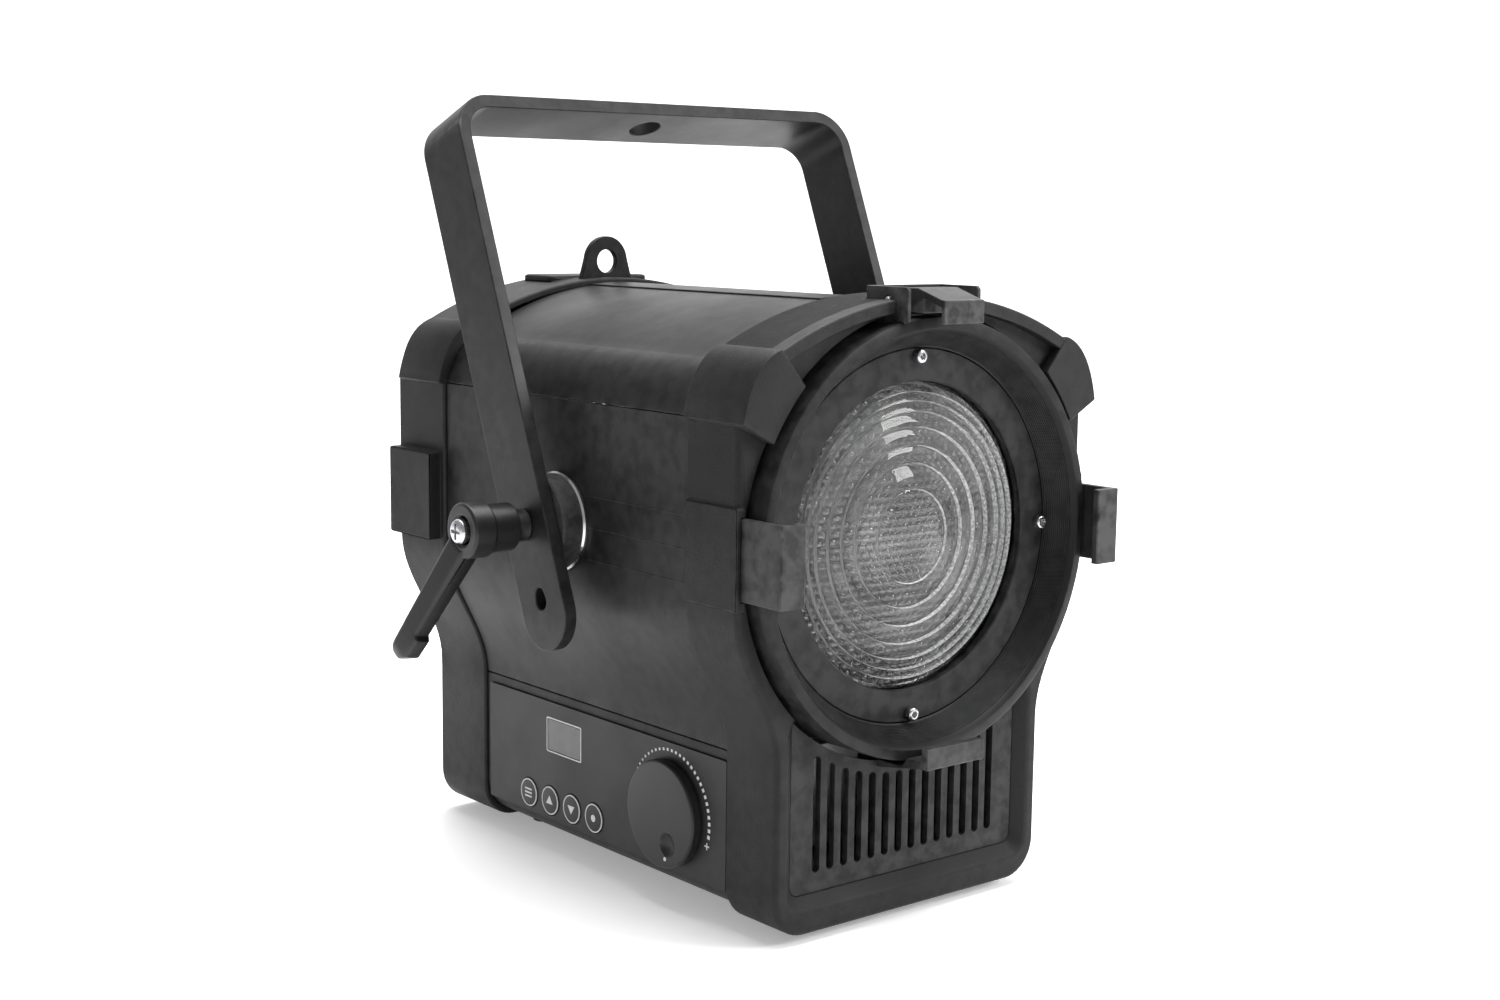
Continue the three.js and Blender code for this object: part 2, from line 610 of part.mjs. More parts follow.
function clampLever() {
  const grip = leverGrip().translate([-128.5, 0, 0])
    .rotate([-THREE.MathUtils.radToDeg(LEVER_DROOP), 0, 0]).translate([0, PIVOT_Y, 0]);
  const barrel = bar('x', 9.5, -124.5, -112.3, PIVOT_Y, 0);
  const hub = bar('x', 11, -134, -124, PIVOT_Y, 0);
  const splineBore = bar('x', 4.5, -125.5, -111, PIVOT_Y, 0, 6);
  const screwBore = bar('x', 2.4, -140, -111, PIVOT_Y, 0, 5);
  const headRecess = bar('x', LEVER_SCREW_RADIUS + GAP, -150, -128.5, PIVOT_Y, 0, 6);
  return cutAll(addAll(grip, barrel, hub), splineBore, screwBore, headRecess);
}

function leverScrew() {
  const head = bar('x', LEVER_SCREW_RADIUS, -136.8, -132.7, PIVOT_Y, 0, 6);
  const slot = bar('x', 2, -140, -135.2, PIVOT_Y, 0, 3);
  const shank = bar('x', 2.1, -133.3, -121.8, PIVOT_Y, 0, 5);
  return head.add(shank).subtract(slot);
}

const clampPieces = [
  ['clamp_stud', clampStud(), steel],
  ['clamp_lever', clampLever(), blackPlastic],
  ['lever_screw', leverScrew(), zinc],
];
for (const [name, shape, material] of clampPieces) {
  place(`${name}_left`, shape, material);
  place(`${name}_right`, mirrored(shape), material);
}

// ---- control panel pieces ----
const SHAFT_RADIUS = 3;
const SHAFT_END = -73.2;

function zoomKnob() {
  const face = -75;
  const back = PANEL_X - 0.5;
  const profile = [
    [0, back], [KNOB_RADIUS, back], [KNOB_RADIUS, face + 1.2], [KNOB_RADIUS - 1.2, face], [0, face],
  ];
  const knob = turned('x', profile, 36, KNOB_Y, KNOB_Z);
  const dimpleAngle = THREE.MathUtils.degToRad(-116);
  const dimpleReach = 12.4;
  const dimpleY = KNOB_Y + dimpleReach * Math.cos(dimpleAngle);
  const dimpleZ = KNOB_Z + dimpleReach * Math.sin(dimpleAngle);
  const dimple = solid(new THREE.SphereGeometry(7, 20, 12).translate(face - 5, dimpleY, dimpleZ));
  const shaftBore = bar('x', SHAFT_RADIUS + GAP, SHAFT_END - GAP, -60, KNOB_Y, KNOB_Z, 6);
  return cutAll(knob, dimple, shaftBore);
}

function toothedOutline(teeth, pitchRadius) {
  const toothAngle = 2 * Math.PI / teeth;
  const corners = [
    [-0.36, -1.25], [-0.21, 0], [-0.1, 0.95], [0.1, 0.95], [0.21, 0], [0.36, -1.25],
  ];
  const points = [];
  for (let k = 0; k < teeth; k += 1) {
    for (const [turn, lift] of corners) {
      const angle = (k + turn) * toothAngle + Math.PI / 2;
      const radius = pitchRadius + lift * GEAR_MODULE;
      points.push([KNOB_Y + radius * Math.cos(angle), KNOB_Z + radius * Math.sin(angle)]);
    }
  }
  return polygon(points);
}

function zoomShaft() {
  const shaft = bar('x', SHAFT_RADIUS, SHAFT_END, RACK_X[1] + 1, KNOB_Y, KNOB_Z, 6);
  return shaft.add(extruded('x', toothedOutline(PINION_TEETH, PINION_RADIUS), ...RACK_X));
}

function rack() {
  const pitch = Math.PI * GEAR_MODULE;
  const pitchZ = KNOB_Z + PINION_RADIUS + 0.15;
  const length = 16;
  const points = [];
  const firstY = KNOB_Y + pitch / 2 - (length - 2) * pitch;
  for (let k = 0; k < length; k += 1) {
    const y = firstY + k * pitch;
    points.push([y - 1.05, pitchZ + 1.25], [y - 0.62, pitchZ], [y - 0.3, pitchZ - 0.9]);
    points.push([y + 0.3, pitchZ - 0.9], [y + 0.62, pitchZ], [y + 1.05, pitchZ + 1.25]);
  }
  const backZ = -95.7;
  points.push([firstY + (length - 0.5) * pitch, backZ], [firstY - 2, backZ]);
  return extruded('x', polygon(points), ...RACK_X);
}

place('zoom_knob', zoomKnob(), blackPlastic);
place('zoom_shaft', zoomShaft(), steel);
place('zoom_rack', rack(), steel);
const KEY_NAMES = ['menu', 'up', 'down', 'enter'];
KEY_NAMES.forEach((name, k) => {
  const key = bar('x', KEY_RADIUS, PANEL_X - 0.5, -66, KEY_Y[k], KEY_Z, 8);
  place(`key_${name}`, key, keyFilm);
});
place('display_window', block(PANEL_X + 0.1, -66.2, 122.6, 148.1, -105, -90), displayGlass);
place('control_board', block(-64.8, -63.2, 78, 190, -133, -86), circuit);

// ---- light engine and its slide ----
const CARRIAGE_Y = [48, 51];

function carriagePlate() {
  const outline = polygon([
    [-50, 50], [-50, -38], [-72, -38], [-72, -52], [-60, -52], [-60, -95.4],
    [-52, -95.4], [-52, -52], [72, -52], [72, -38], [50, -38], [50, 50],
  ]);
  outline.holes = [
    roundedRectangle(-18.5, 18.5, -18.5, 18.5, 0.5),
    circle(ROD_RADIUS + GAP, -ROD_X, ROD_Z),
    circle(ROD_RADIUS + GAP, ROD_X, ROD_Z),
  ];
  return extruded('y', outline, ...CARRIAGE_Y, 6);
}

function heatSink() {
  const finCount = 11;
  const half = 49;
  const [base, root, tip] = [CARRIAGE_Y[1] + GAP, CARRIAGE_Y[1] + 7, CARRIAGE_Y[1] + 44];
  const finWidth = 2.4;
  const pitch = (2 * half - finWidth) / (finCount - 1);
  const points = [[-half, base], [half, base]];
  for (let k = finCount - 1; k >= 0; k -= 1) {
    const x = -half + k * pitch;
    points.push([x + finWidth, root], [x + finWidth, tip], [x, tip], [x, root]);
  }
  return extruded('z', polygon(points), -48, 48);
}

// Square board with the round emitter standing on its front.
function ledModule() {
  const board = block(-17.5, 17.5, 49, CARRIAGE_Y[1], -17.5, 17.5);
  return board.add(bar('y', 11, 48.2, 49.5));
}

function reflector() {
  const profile = [[14, 47.6], [38, 20], [40, 20], [18.5, 45.4], [30, 45.4], [30, 47.6]];
  return turned('y', profile, 28);
}

function chassis() {
  const floor = block(-64, 64, 30, 190, -82, -80);
  const wall = polygon([
    [-64, -80.5], [64, -80.5], [66.5, -66], [74, -48], [74, 20], [-74, 20], [-74, -48], [-66.5, -66],
  ]);
  const light = block(-54, 54, 20, 200, -42, 60);
  const rodHoles = [-ROD_X, ROD_X].map((x) => bar('y', ROD_RADIUS + GAP, 20, 200, x, ROD_Z, 6));
  const rackSlot = block(-64, -48, 40, 105, -90, -79);
  return cutAll(
    addAll(floor, extruded('y', wall, 30, 32), extruded('y', wall, 186, 188)),
    light, ...rodHoles, rackSlot,
  );
}

place('chassis', chassis(), aluminium);
place('guide_rod_left', bar('y', ROD_RADIUS, 28, 191, -ROD_X, ROD_Z, 6), steel);
place('guide_rod_right', bar('y', ROD_RADIUS, 28, 191, ROD_X, ROD_Z, 6), steel);
place('led_carriage', carriagePlate(), aluminium);
place('heat_sink', heatSink(), aluminium);
place('led_module', ledModule(), emitterYellow);
place('collimator', reflector(), brightReflector);
place('power_supply', block(-20, 60, 60, 180, -139, -96), aluminium);

// ---- fan and rear panel ----
const FAN_HALF = 40;
const FAN_BORE = 37.5;

function fanFrame() {
  const frame = roundedRectangle(-FAN_HALF, FAN_HALF, -FAN_HALF, FAN_HALF, 4);
  frame.holes = [circle(FAN_BORE)];
  const spokes = [0, 60, 120].map((turn) =>
    block(-FAN_BORE - 1, FAN_BORE + 1, FAN_Y[0], FAN_Y[0] + 2.5, -2, 2).rotate([0, turn, 0]));
  return addAll(extruded('y', frame, ...FAN_Y, 7), ...spokes, bar('y', 14, FAN_Y[0], FAN_Y[0] + 2.5));
}

function fanRotor() {
  const blades = 7;
  const hub = bar('y', 15, FAN_Y[0] + 4, FAN_Y[1] - 1);
  const pieces = [];
  for (let k = 0; k < blades; k += 1) {
    const blade = block(12, 36, -8, 8, -0.7, 0.7).rotate([38, 0, 0])
      .translate([0, (FAN_Y[0] + FAN_Y[1]) / 2 + 1.5, 0]).rotate([0, k * 360 / blades, 0]);
    pieces.push(blade);
  }
  return addAll(hub, ...pieces);
}

const SOCKET_Z = -113;
const SOCKETS = { power_inlet: -45, power_outlet: -15, data_input: 15, data_output: 45 };
const SOCKET_BODY = 10.5;

function rearPanel() {
  const outline = housingOutline(BEZEL, BEZEL_WALL + 3 * GAP);
  outline.holes = [circle(FAN_BORE)];
  for (const x of Object.values(SOCKETS)) {
    outline.holes.push(circle(SOCKET_BODY + 3 * GAP, x, SOCKET_Z));
  }
  for (let row = 0; row < 3; row += 1) {
    const z = 56 + 8 * row;
    const half = 34 - 4 * row;
    outline.holes.push(roundedRectangle(-half, half, z - 1.6, z + 1.6, 0.8));
  }
  return extruded('y', outline, ...REAR_PANEL_Y, 5);
}

function rearSocket(x) {
  const plateY = REAR_PANEL_Y[1] + GAP;
  const plate = roundedRectangle(x - 12.5, x + 12.5, SOCKET_Z - 15, SOCKET_Z + 15, 2);
  const barrel = bar('y', SOCKET_BODY, 208, plateY + 1, x, SOCKET_Z, 7);
  const mouth = bar('y', 9.2, 220, plateY + 5, x, SOCKET_Z, 7);
  return extruded('y', plate, plateY, plateY + 2, 2).add(barrel).subtract(mouth);
}

function fanGuard() {
  const [from, to] = [REAR_PANEL_Y[1] + GAP, REAR_PANEL_Y[1] + 2.3];
  const rings = [16, 34].map((radius) => collar('y', radius, radius + 2, from, to, 0, 0, 24));
  const bars = [45, 135].map((turn) => block(-45, 45, from, to, -1, 1).rotate([0, turn, 0]));
  return addAll(rings[0], ...rings.slice(1), ...bars);
}

place('rear_panel', rearPanel(), sheetPaint);
place('fan_frame', fanFrame(), blackPlastic);
place('fan_rotor', fanRotor(), blackPlastic);
place('fan_guard', fanGuard(), zinc);
for (const [name, x] of Object.entries(SOCKETS)) {
  place(name, rearSocket(x), blackPlastic);
}

export default group;
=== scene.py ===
"""Looks for the LED Fresnel spotlight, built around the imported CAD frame.

Every piece is drawn in millimetres in the part's drawing frame: the origin is on the lens axis
at the retainer's front, X to the right, Y back, Z up. finish_piece() moves it into the row frame.
"""
import json
import random
from math import acos, asin, atan2, copysign, cos, degrees, hypot, pi, radians, sin, sqrt

import bmesh
import bpy
from mathutils import Matrix, Vector


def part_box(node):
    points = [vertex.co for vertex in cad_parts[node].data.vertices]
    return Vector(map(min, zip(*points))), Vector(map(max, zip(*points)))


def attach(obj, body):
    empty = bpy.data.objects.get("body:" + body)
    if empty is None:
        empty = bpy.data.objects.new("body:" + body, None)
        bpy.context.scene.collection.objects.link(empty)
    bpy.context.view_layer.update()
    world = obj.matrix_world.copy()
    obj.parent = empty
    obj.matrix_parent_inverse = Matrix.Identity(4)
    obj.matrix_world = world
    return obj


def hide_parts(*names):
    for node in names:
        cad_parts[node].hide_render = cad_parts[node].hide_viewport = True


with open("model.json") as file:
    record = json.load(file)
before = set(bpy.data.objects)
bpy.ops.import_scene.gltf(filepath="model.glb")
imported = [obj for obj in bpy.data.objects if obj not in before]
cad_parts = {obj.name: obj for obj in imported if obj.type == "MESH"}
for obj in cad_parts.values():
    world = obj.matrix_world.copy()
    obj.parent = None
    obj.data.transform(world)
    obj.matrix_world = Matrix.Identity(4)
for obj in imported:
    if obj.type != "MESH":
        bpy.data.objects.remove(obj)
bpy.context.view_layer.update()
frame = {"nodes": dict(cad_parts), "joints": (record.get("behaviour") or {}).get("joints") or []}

scene = bpy.context.scene
random.seed(7)

MM = 0.001
retainer_low, retainer_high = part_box("lens_retainer")
LENS = Vector((0, retainer_low.y, (retainer_low.z + retainer_high.z) / 2))
TO_ROW = Matrix.Translation(LENS) @ Matrix.Scale(MM, 4)


def span(node):
    """Lowest and highest corner of a CAD node, in drawing millimetres."""
    low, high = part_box(node)
    return (low - LENS) / MM, (high - LENS) / MM


def centre(node):
    """A CAD node's middle, in drawing millimetres."""
    return tuple((a + b) / 2 for a, b in zip(*span(node)))


def joint_point(name):
    """Where a joint's axis passes, in drawing millimetres."""
    found = next(joint for joint in frame["joints"] if joint["name"] == name)
    return (Vector(found["pos_m"]) - LENS) / MM


# ---- sizes taken from the frame ----
BEZEL_LOW, BEZEL_HIGH = span("front_bezel")
REAR_LOW, REAR_HIGH = span("rear_bezel")
SHELL_LOW, SHELL_HIGH = span("top_cover")
RING_LOW, RING_HIGH = span("lens_ring")
RETAINER_HIGH = span("lens_retainer")[1]
YOKE_PIVOT = joint_point("yoke_tilt")
YOKE_LEAN = radians(22)
YOKE_OUTER = span("yoke")[1].x
PANEL_LOW, PANEL_HIGH = span("control_panel")
KNOB_LOW, KNOB_HIGH = span("zoom_knob")
WINDOW_LOW, WINDOW_HIGH = span("display_window")
KNOB_CENTRE = centre("zoom_knob")[1:]
PIN_CENTRE = centre("latch_pin")[1:]
KEYS = ("menu", "up", "down", "enter")
SOCKETS = ("power_inlet", "power_outlet", "data_input", "data_output")

# ---- sizes the frame doesn't give ----
APERTURE = 60
RING_LIP = 80.5
RING_OPENING = 87.5
FACE = -3.5
WALL = 3
SHEET = 2
GAP = 0.3
BEZEL = dict(apex=92.6, roof=160, shoulder=74.3, pull=(87.5, 70), side=90, eave=49, base=70, bottom=-146.7)
SHELL = dict(apex=90, roof=138, shoulder=72, pull=(84.5, 65.5), side=88.5, eave=49, base=68.6, bottom=-144)
EAR_X = 91.5
EAR_INNER_LOW = (77.5, 41)
EAR_INNER_TOP = (63.4, 61.5)
LIP_X = 71.7
HIP_Z = -20
WAIST_Z = -80
BASE_CORNER = 15.5
SEAM_Z = -79.4
YOKE_BAR = 5.5
YOKE_HALF = 15
YOKE_REACH = 176
YOKE_TAIL = 50.8
YOKE_CORNER = 17
LEVER_LENGTH = 65
LEVER_DROOP = -58
LEVER_SPLAY = 12
LENS_CROWN = -0.6
LENS_PLANE = 3.6
PRINT = 0.06
NEUTRAL = (1, 1, 1)


# ---- materials ----
class Graph:
    """A material's node tree, with short calls to add and link nodes."""

    def __init__(self, name):
        self.material = bpy.data.materials.new(name)
        self.material.use_nodes = True
        self.tree = self.material.node_tree
        self.shader = self.tree.nodes["Principled BSDF"]
        self.coordinates = self.tree.nodes.new("ShaderNodeTexCoord").outputs["Object"]

    def node(self, kind, settings=None, **inputs):
        made = self.tree.nodes.new(kind)
        for key, value in (settings or {}).items():
            setattr(made, key, value)
        for key, value in inputs.items():
            self.put(made.inputs[key.replace("_", " ")], value)
        return made

    def put(self, socket, value):
        if isinstance(value, bpy.types.NodeSocket):
            self.tree.links.new(value, socket)
        else:
            socket.default_value = value

    def noise(self, size_mm, detail=2.0, roughness=0.5, stretch=(1, 1, 1)):
        mapping = self.node("ShaderNodeMapping", Vector=self.coordinates, Scale=stretch)
        return self.node("ShaderNodeTexNoise", Vector=mapping.outputs[0], Scale=1 / (size_mm * MM),
                         Detail=detail, Roughness=roughness).outputs["Fac"]

    def remap(self, value, low, high, to_low, to_high):
        made = self.node("ShaderNodeMapRange", Value=value)
        for key, number in zip(("From Min", "From Max", "To Min", "To Max"), (low, high, to_low, to_high)):
            made.inputs[key].default_value = number
        return made.outputs[0]

    def mix(self, factor, first, second):
        made = self.node("ShaderNodeMix", {"data_type": "RGBA"})
        self.put(made.inputs[0], factor)
        self.put(made.inputs[6], first)
        self.put(made.inputs[7], second)
        return made.outputs[2]

    def vary(self, noise, low, high):
        """A noise's middle stretch, spread from low to high."""
        return self.remap(noise, 0.3, 0.7, low, high)

    def blend(self, noise, first, second):
        """A colour that follows a noise from the first to the second."""
        return self.mix(self.vary(noise, 0, 1), first, second)

    def multiply(self, first, second):
        made = self.node("ShaderNodeMath", {"operation": "MULTIPLY"})
        self.put(made.inputs[0], first)
        self.put(made.inputs[1], second)
        return made.outputs[0]

    def bump(self, height, depth_mm, strength=1.0):
        made = self.node("ShaderNodeBump", Height=height, Distance=depth_mm * MM, Strength=strength)
        self.put(self.shader.inputs["Normal"], made.outputs[0])

    def set(self, **inputs):
        for key, value in inputs.items():
            self.put(self.shader.inputs[key.replace("_", " ")], value)
        return self


def grey(level, tint=(1.0, 1.0, 1.03)):
    return (level * tint[0], level * tint[1], level * tint[2], 1)


def finish_material(name, level, roughness, grain_mm, depth_mm, metallic=0.0, specular=0.5,
                    wear=0.25, worn=0.12, spread=0.3, stretch=(1, 1, 1), tint=(1.0, 1.0, 1.03)):
    """Paint, plastic or metal: blotchy colour, a fine grain, uneven gloss and rubbed edges."""
    g = Graph(name)
    blotch = g.noise(34, 3)
    fine = g.noise(grain_mm, 2, 0.6, stretch)
    dark = grey(level * (1 - spread), tint)
    light = grey(level * (1 + spread), tint)
    speckled = g.mix(g.remap(fine, 0.35, 0.7, 0, 1), dark, light)
    shade = g.mix(g.vary(blotch, 0, 0.25), speckled, grey(level * (1 + 1.5 * spread), tint))
    edge = g.node("ShaderNodeNewGeometry").outputs["Pointiness"]
    rubbed = g.multiply(g.remap(edge, 0.515, 0.6, 0, wear), g.remap(g.noise(6, 3), 0.35, 0.6, 0, 1))
    g.set(Base_Color=g.mix(rubbed, shade, grey(worn, tint)), Metallic=metallic)
    gloss = g.multiply(g.vary(blotch, 0.9, 1.12), g.vary(fine, 0.95 * roughness, 1.05 * roughness))
    g.set(Roughness=gloss)
    g.shader.inputs["Specular IOR Level"].default_value = specular
    g.bump(fine, depth_mm)
    return g.material


def lens_glass():
    """Clear pressed glass with glossy, slightly wavy faces."""
    g = Graph("lens_glass")
    wave = g.noise(6, 2)
    g.set(Base_Color=g.blend(wave, grey(0.92, NEUTRAL), grey(0.98, NEUTRAL)))
    g.set(Roughness=g.vary(wave, 0.01, 0.03))
    g.shader.inputs["Transmission Weight"].default_value = 1.0
    g.shader.inputs["IOR"].default_value = 1.22
    g.bump(wave, 0.002, 0.1)
    return g.material


def riser_glass():
    """The ground risers between the lens zones: a whiter, hazier glass."""
    g = Graph("riser_glass")
    grain = g.noise(1.2, 2)
    g.set(Base_Color=g.blend(grain, grey(0.7, NEUTRAL), grey(0.9, NEUTRAL)))
    g.set(Roughness=g.vary(grain, 0.2, 0.35))
    g.shader.inputs["Transmission Weight"].default_value = 0.35
    g.bump(grain, 0.05)
    return g.material


def stipple_glass():
    """The lens's pebbled back: grey, shiny beads that the lamp's light is spread by."""
    g = Graph("stipple_glass")
    blotch = g.noise(22, 3)
    g.set(Base_Color=g.blend(blotch, grey(0.14, NEUTRAL), grey(0.3, NEUTRAL)))
    g.set(Roughness=g.vary(blotch, 0.14, 0.26), Alpha=0.7)
    g.shader.inputs["Metallic"].default_value = 0.75
    g.shader.inputs["Specular IOR Level"].default_value = 1.0
    return g.material


def display_material():
    g = Graph("display_glass")
    smear = g.noise(9, 3)
    g.set(Base_Color=g.blend(smear, grey(0.05), grey(0.075)))
    g.set(Roughness=g.vary(smear, 0.12, 0.28))
    return g.material


def phosphor_material():
    g = Graph("led_phosphor")
    grain = g.noise(1.5, 2)
    g.set(Base_Color=g.mix(grain, (0.75, 0.5, 0.06, 1), (0.9, 0.72, 0.2, 1)), Roughness=0.6)
    g.bump(grain, 0.1)
    return g.material


def circuit_material():
    g = Graph("circuit_board")
    tracks = g.node("ShaderNodeTexVoronoi", {"feature": "DISTANCE_TO_EDGE", "distance": "CHEBYCHEV"},
                    Vector=g.coordinates, Scale=160.0).outputs["Distance"]
    g.set(Base_Color=g.mix(g.remap(tracks, 0.05, 0.12, 0, 1), (0.05, 0.25, 0.1, 1), (0.01, 0.09, 0.04, 1)))
    g.set(Roughness=0.4)
    g.bump(tracks, 0.1)
    return g.material


MATERIALS = {
    "cast_paint": finish_material("cast_paint", 0.009, 0.58, 0.9, 0.14, specular=0.24, wear=0.35, worn=0.07,
                                  spread=0.25),
    "sheet_paint": finish_material("sheet_paint", 0.006, 0.44, 0.7, 0.03, specular=0.2, wear=0.2,
                                   spread=0.15),
    "tray_paint": finish_material("tray_paint", 0.007, 0.46, 0.7, 0.03, specular=0.2, spread=0.15),
    "ring_paint": finish_material("ring_paint", 0.007, 0.48, 0.6, 0.03, specular=0.2, wear=0.35, worn=0.08,
                                  spread=0.15),
    "yoke_paint": finish_material("yoke_paint", 0.008, 0.42, 0.7, 0.03, specular=0.26, wear=0.5, spread=0.15),
    "clip_paint": finish_material("clip_paint", 0.014, 0.5, 1.4, 0.05, specular=0.28, wear=0.6, spread=0.16),
    "label_film": finish_material("label_film", 0.02, 0.5, 0.5, 0.015, specular=0.3, wear=0.1, spread=0.1),
    "key_film": finish_material("key_film", 0.009, 0.42, 0.5, 0.02, specular=0.35, wear=0.1, spread=0.1),
    "black_plastic": finish_material("black_plastic", 0.007, 0.4, 0.6, 0.03, specular=0.38, spread=0.15),
    "rubber": finish_material("rubber", 0.01, 0.8, 0.8, 0.06, specular=0.25),
    "friction_fibre": finish_material("friction_fibre", 0.012, 0.7, 1.6, 0.25, specular=0.3, spread=0.5),
    "zinc": finish_material("zinc", 0.5, 0.24, 1.1, 0.02, metallic=1.0, worn=0.85, spread=0.12),
    "steel": finish_material("steel", 0.42, 0.34, 0.8, 0.02, metallic=1.0, worn=0.7, spread=0.15),
    "aluminium": finish_material("aluminium", 0.5, 0.4, 0.9, 0.03, metallic=1.0, worn=0.7, spread=0.12,
                                 stretch=(1, 1, 8)),
    "bright_reflector": finish_material("bright_reflector", 0.78, 0.14, 1.6, 0.02, metallic=1.0, worn=0.9,
                                        spread=0.06),
    "white_print": finish_material("white_print", 0.62, 0.6, 0.4, 0.01, worn=0.5, spread=0.08),
    "lens_glass": lens_glass(),
    "riser_glass": riser_glass(),
    "stipple_glass": stipple_glass(),
    "display_glass": display_material(),
    "circuit_board": circuit_material(),
    "led_phosphor": phosphor_material(),
}


# ---- mesh helpers, all in drawing millimetres ----
def object_from(bm, name="work"):
    bmesh.ops.recalc_face_normals(bm, faces=bm.faces)
    mesh = bpy.data.meshes.new(name)
    bm.to_mesh(mesh)
    bm.free()
    made = bpy.data.objects.new(name, mesh)
    scene.collection.objects.link(made)
    return made


def on_axis(axis, u, v, w):
    """The point (u, v) across an axis at station w along it."""
    return {"x": (w, u, v), "y": (u, w, v), "z": (u, v, w)}[axis]


def arc(cu, cv, radius, start, end, count=10):
    """Points on an arc, angles in degrees, both ends included."""
    turns = [radians(start + (end - start) * k / count) for k in range(count + 1)]
    return [(cu + radius * cos(t), cv + radius * sin(t)) for t in turns]


def circle(cu, cv, radius, count=64):
    return arc(cu, cv, radius, 0, 360, count)[:-1]


def rounded(u0, u1, v0, v1, radius, count=6):
    return (arc(u1 - radius, v0 + radius, radius, -90, 0, count)
            + arc(u1 - radius, v1 - radius, radius, 0, 90, count)
            + arc(u0 + radius, v1 - radius, radius, 90, 180, count)
            + arc(u0 + radius, v0 + radius, radius, 180, 270, count))


def stitch(bm, lower, upper):
    """Quads between two rings of vertices."""
    for k in range(len(lower)):
        after = (k + 1) % len(lower)
        bm.faces.new((lower[k], lower[after], upper[after], upper[k]))


def loft(axis, sections):
    """A closed solid through outlines of equal point count: [(station, outline), ...]."""
    bm = bmesh.new()
    rings = []
    for station, outline in sections:
        rings.append([bm.verts.new(on_axis(axis, u, v, station)) for u, v in outline])
    for lower, upper in zip(rings, rings[1:]):
        stitch(bm, lower, upper)
    bm.faces.new(rings[0])
    bm.faces.new(rings[-1])
    return object_from(bm)


def prism(axis, outline, start, stop):
    return loft(axis, [(start, outline), (stop, outline)])


def bar(axis, radius, start, stop, u=0.0, v=0.0, count=64):
    return prism(axis, circle(u, v, radius, count), start, stop)


def block(low, high):
    outline = [(low[0], low[1]), (high[0], low[1]), (high[0], high[1]), (low[0], high[1])]
    return prism("z", outline, low[2], high[2])


def turned(axis, profile, u=0.0, v=0.0, count=128):
    """A profile of (radius, station) turned about an axis line; it may touch the axis."""
    bm = bmesh.new()
    columns = []
    for k in range(count):
        t = 2 * pi * k / count
        columns.append([bm.verts.new(on_axis(axis, u + r * cos(t), v + r * sin(t), w))
                        for r, w in profile])
    closed = profile[0][0] > 0
    last = len(profile) if closed else len(profile) - 1
    for k in range(count):
        here, there = columns[k], columns[(k + 1) % count]
        for j in range(last):
            after = (j + 1) % len(profile)
            bm.faces.new((here[j], there[j], there[after], here[after]))
    bmesh.ops.remove_doubles(bm, verts=bm.verts, dist=1e-4)
    return object_from(bm)


def applied(obj):
    """Bakes an object's modifiers into its mesh."""
    graph = bpy.context.evaluated_depsgraph_get()
    mesh = bpy.data.meshes.new_from_object(obj.evaluated_get(graph))
    old = obj.data
    obj.modifiers.clear()
    obj.data = mesh
    bpy.data.meshes.remove(old)
    return obj


def combined(target, operation, *others):
    for other in others:
        made = target.modifiers.new("boolean", "BOOLEAN")
        made.operation = operation
        made.solver = "EXACT"
        made.object = other
        applied(target)
        bpy.data.objects.remove(other)
    return target


def cut(target, *others):
    return combined(target, "DIFFERENCE", *others)


def joined(target, *others):
    return combined(target, "UNION", *others)


def merged(first, *others):
    """Several loose solids as one object, with no boolean."""
    bm = bmesh.new()
    bm.from_mesh(first.data)
    for other in others:
        other.data.transform(other.matrix_world)
        bm.from_mesh(other.data)
        bpy.data.objects.remove(other)
    old = first.data
    first.data = bpy.data.meshes.new("merged")
    bm.to_mesh(first.data)
    bm.free()
    bpy.data.meshes.remove(old)
    return first


def mirrored(obj):
    """A copy of an object reflected in the middle plane."""
    copy = bpy.data.objects.new("copy", obj.data.copy())
    scene.collection.objects.link(copy)
    copy.data.transform(Matrix.Scale(-1, 4, (1, 0, 0)))
    copy.data.flip_normals()
    return copy


def on_side(obj, side):
    """A piece drawn on the left: itself, or its reflection instead of it on the right."""
    if side == "left":
        return obj
    other = mirrored(obj)
    bpy.data.objects.remove(obj)
    return other


def bevelled(obj, width, segments=2, angle=32):
    """Rounds the sharp edges and evens the shading of the faces beside them."""
    bm = bmesh.new()
    bm.from_mesh(obj.data)
    bmesh.ops.remove_doubles(bm, verts=bm.verts, dist=1e-3)
    bmesh.ops.dissolve_degenerate(bm, edges=bm.edges, dist=1e-3)
    bm.to_mesh(obj.data)
    bm.free()
    edge = obj.modifiers.new("bevel", "BEVEL")
    edge.width = width
    edge.segments = segments
    edge.limit_method = "ANGLE"
    edge.angle_limit = radians(angle)
    edge.use_clamp_overlap = False
    obj.data.polygons.foreach_set("use_smooth", [True] * len(obj.data.polygons))
    normals = obj.modifiers.new("normals", "WEIGHTED_NORMAL")
    normals.keep_sharp = True
    return applied(obj)


def smooth(obj, angle=32):
    obj.data.polygons.foreach_set("use_smooth", [True] * len(obj.data.polygons))
    obj.data.set_sharp_from_angle(angle=radians(angle))
    return obj


def finish_piece(obj, name, material, body="housing", nodes=()):
    """Names a piece, moves it into the row frame and ties it to the CAD model."""
    obj.name = name
    obj.data.name = name
    obj.data.transform(TO_ROW)
    obj.data.materials.clear()
    obj.data.materials.append(MATERIALS[material])
    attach(obj, body)
    if nodes:
        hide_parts(*nodes)
    return obj


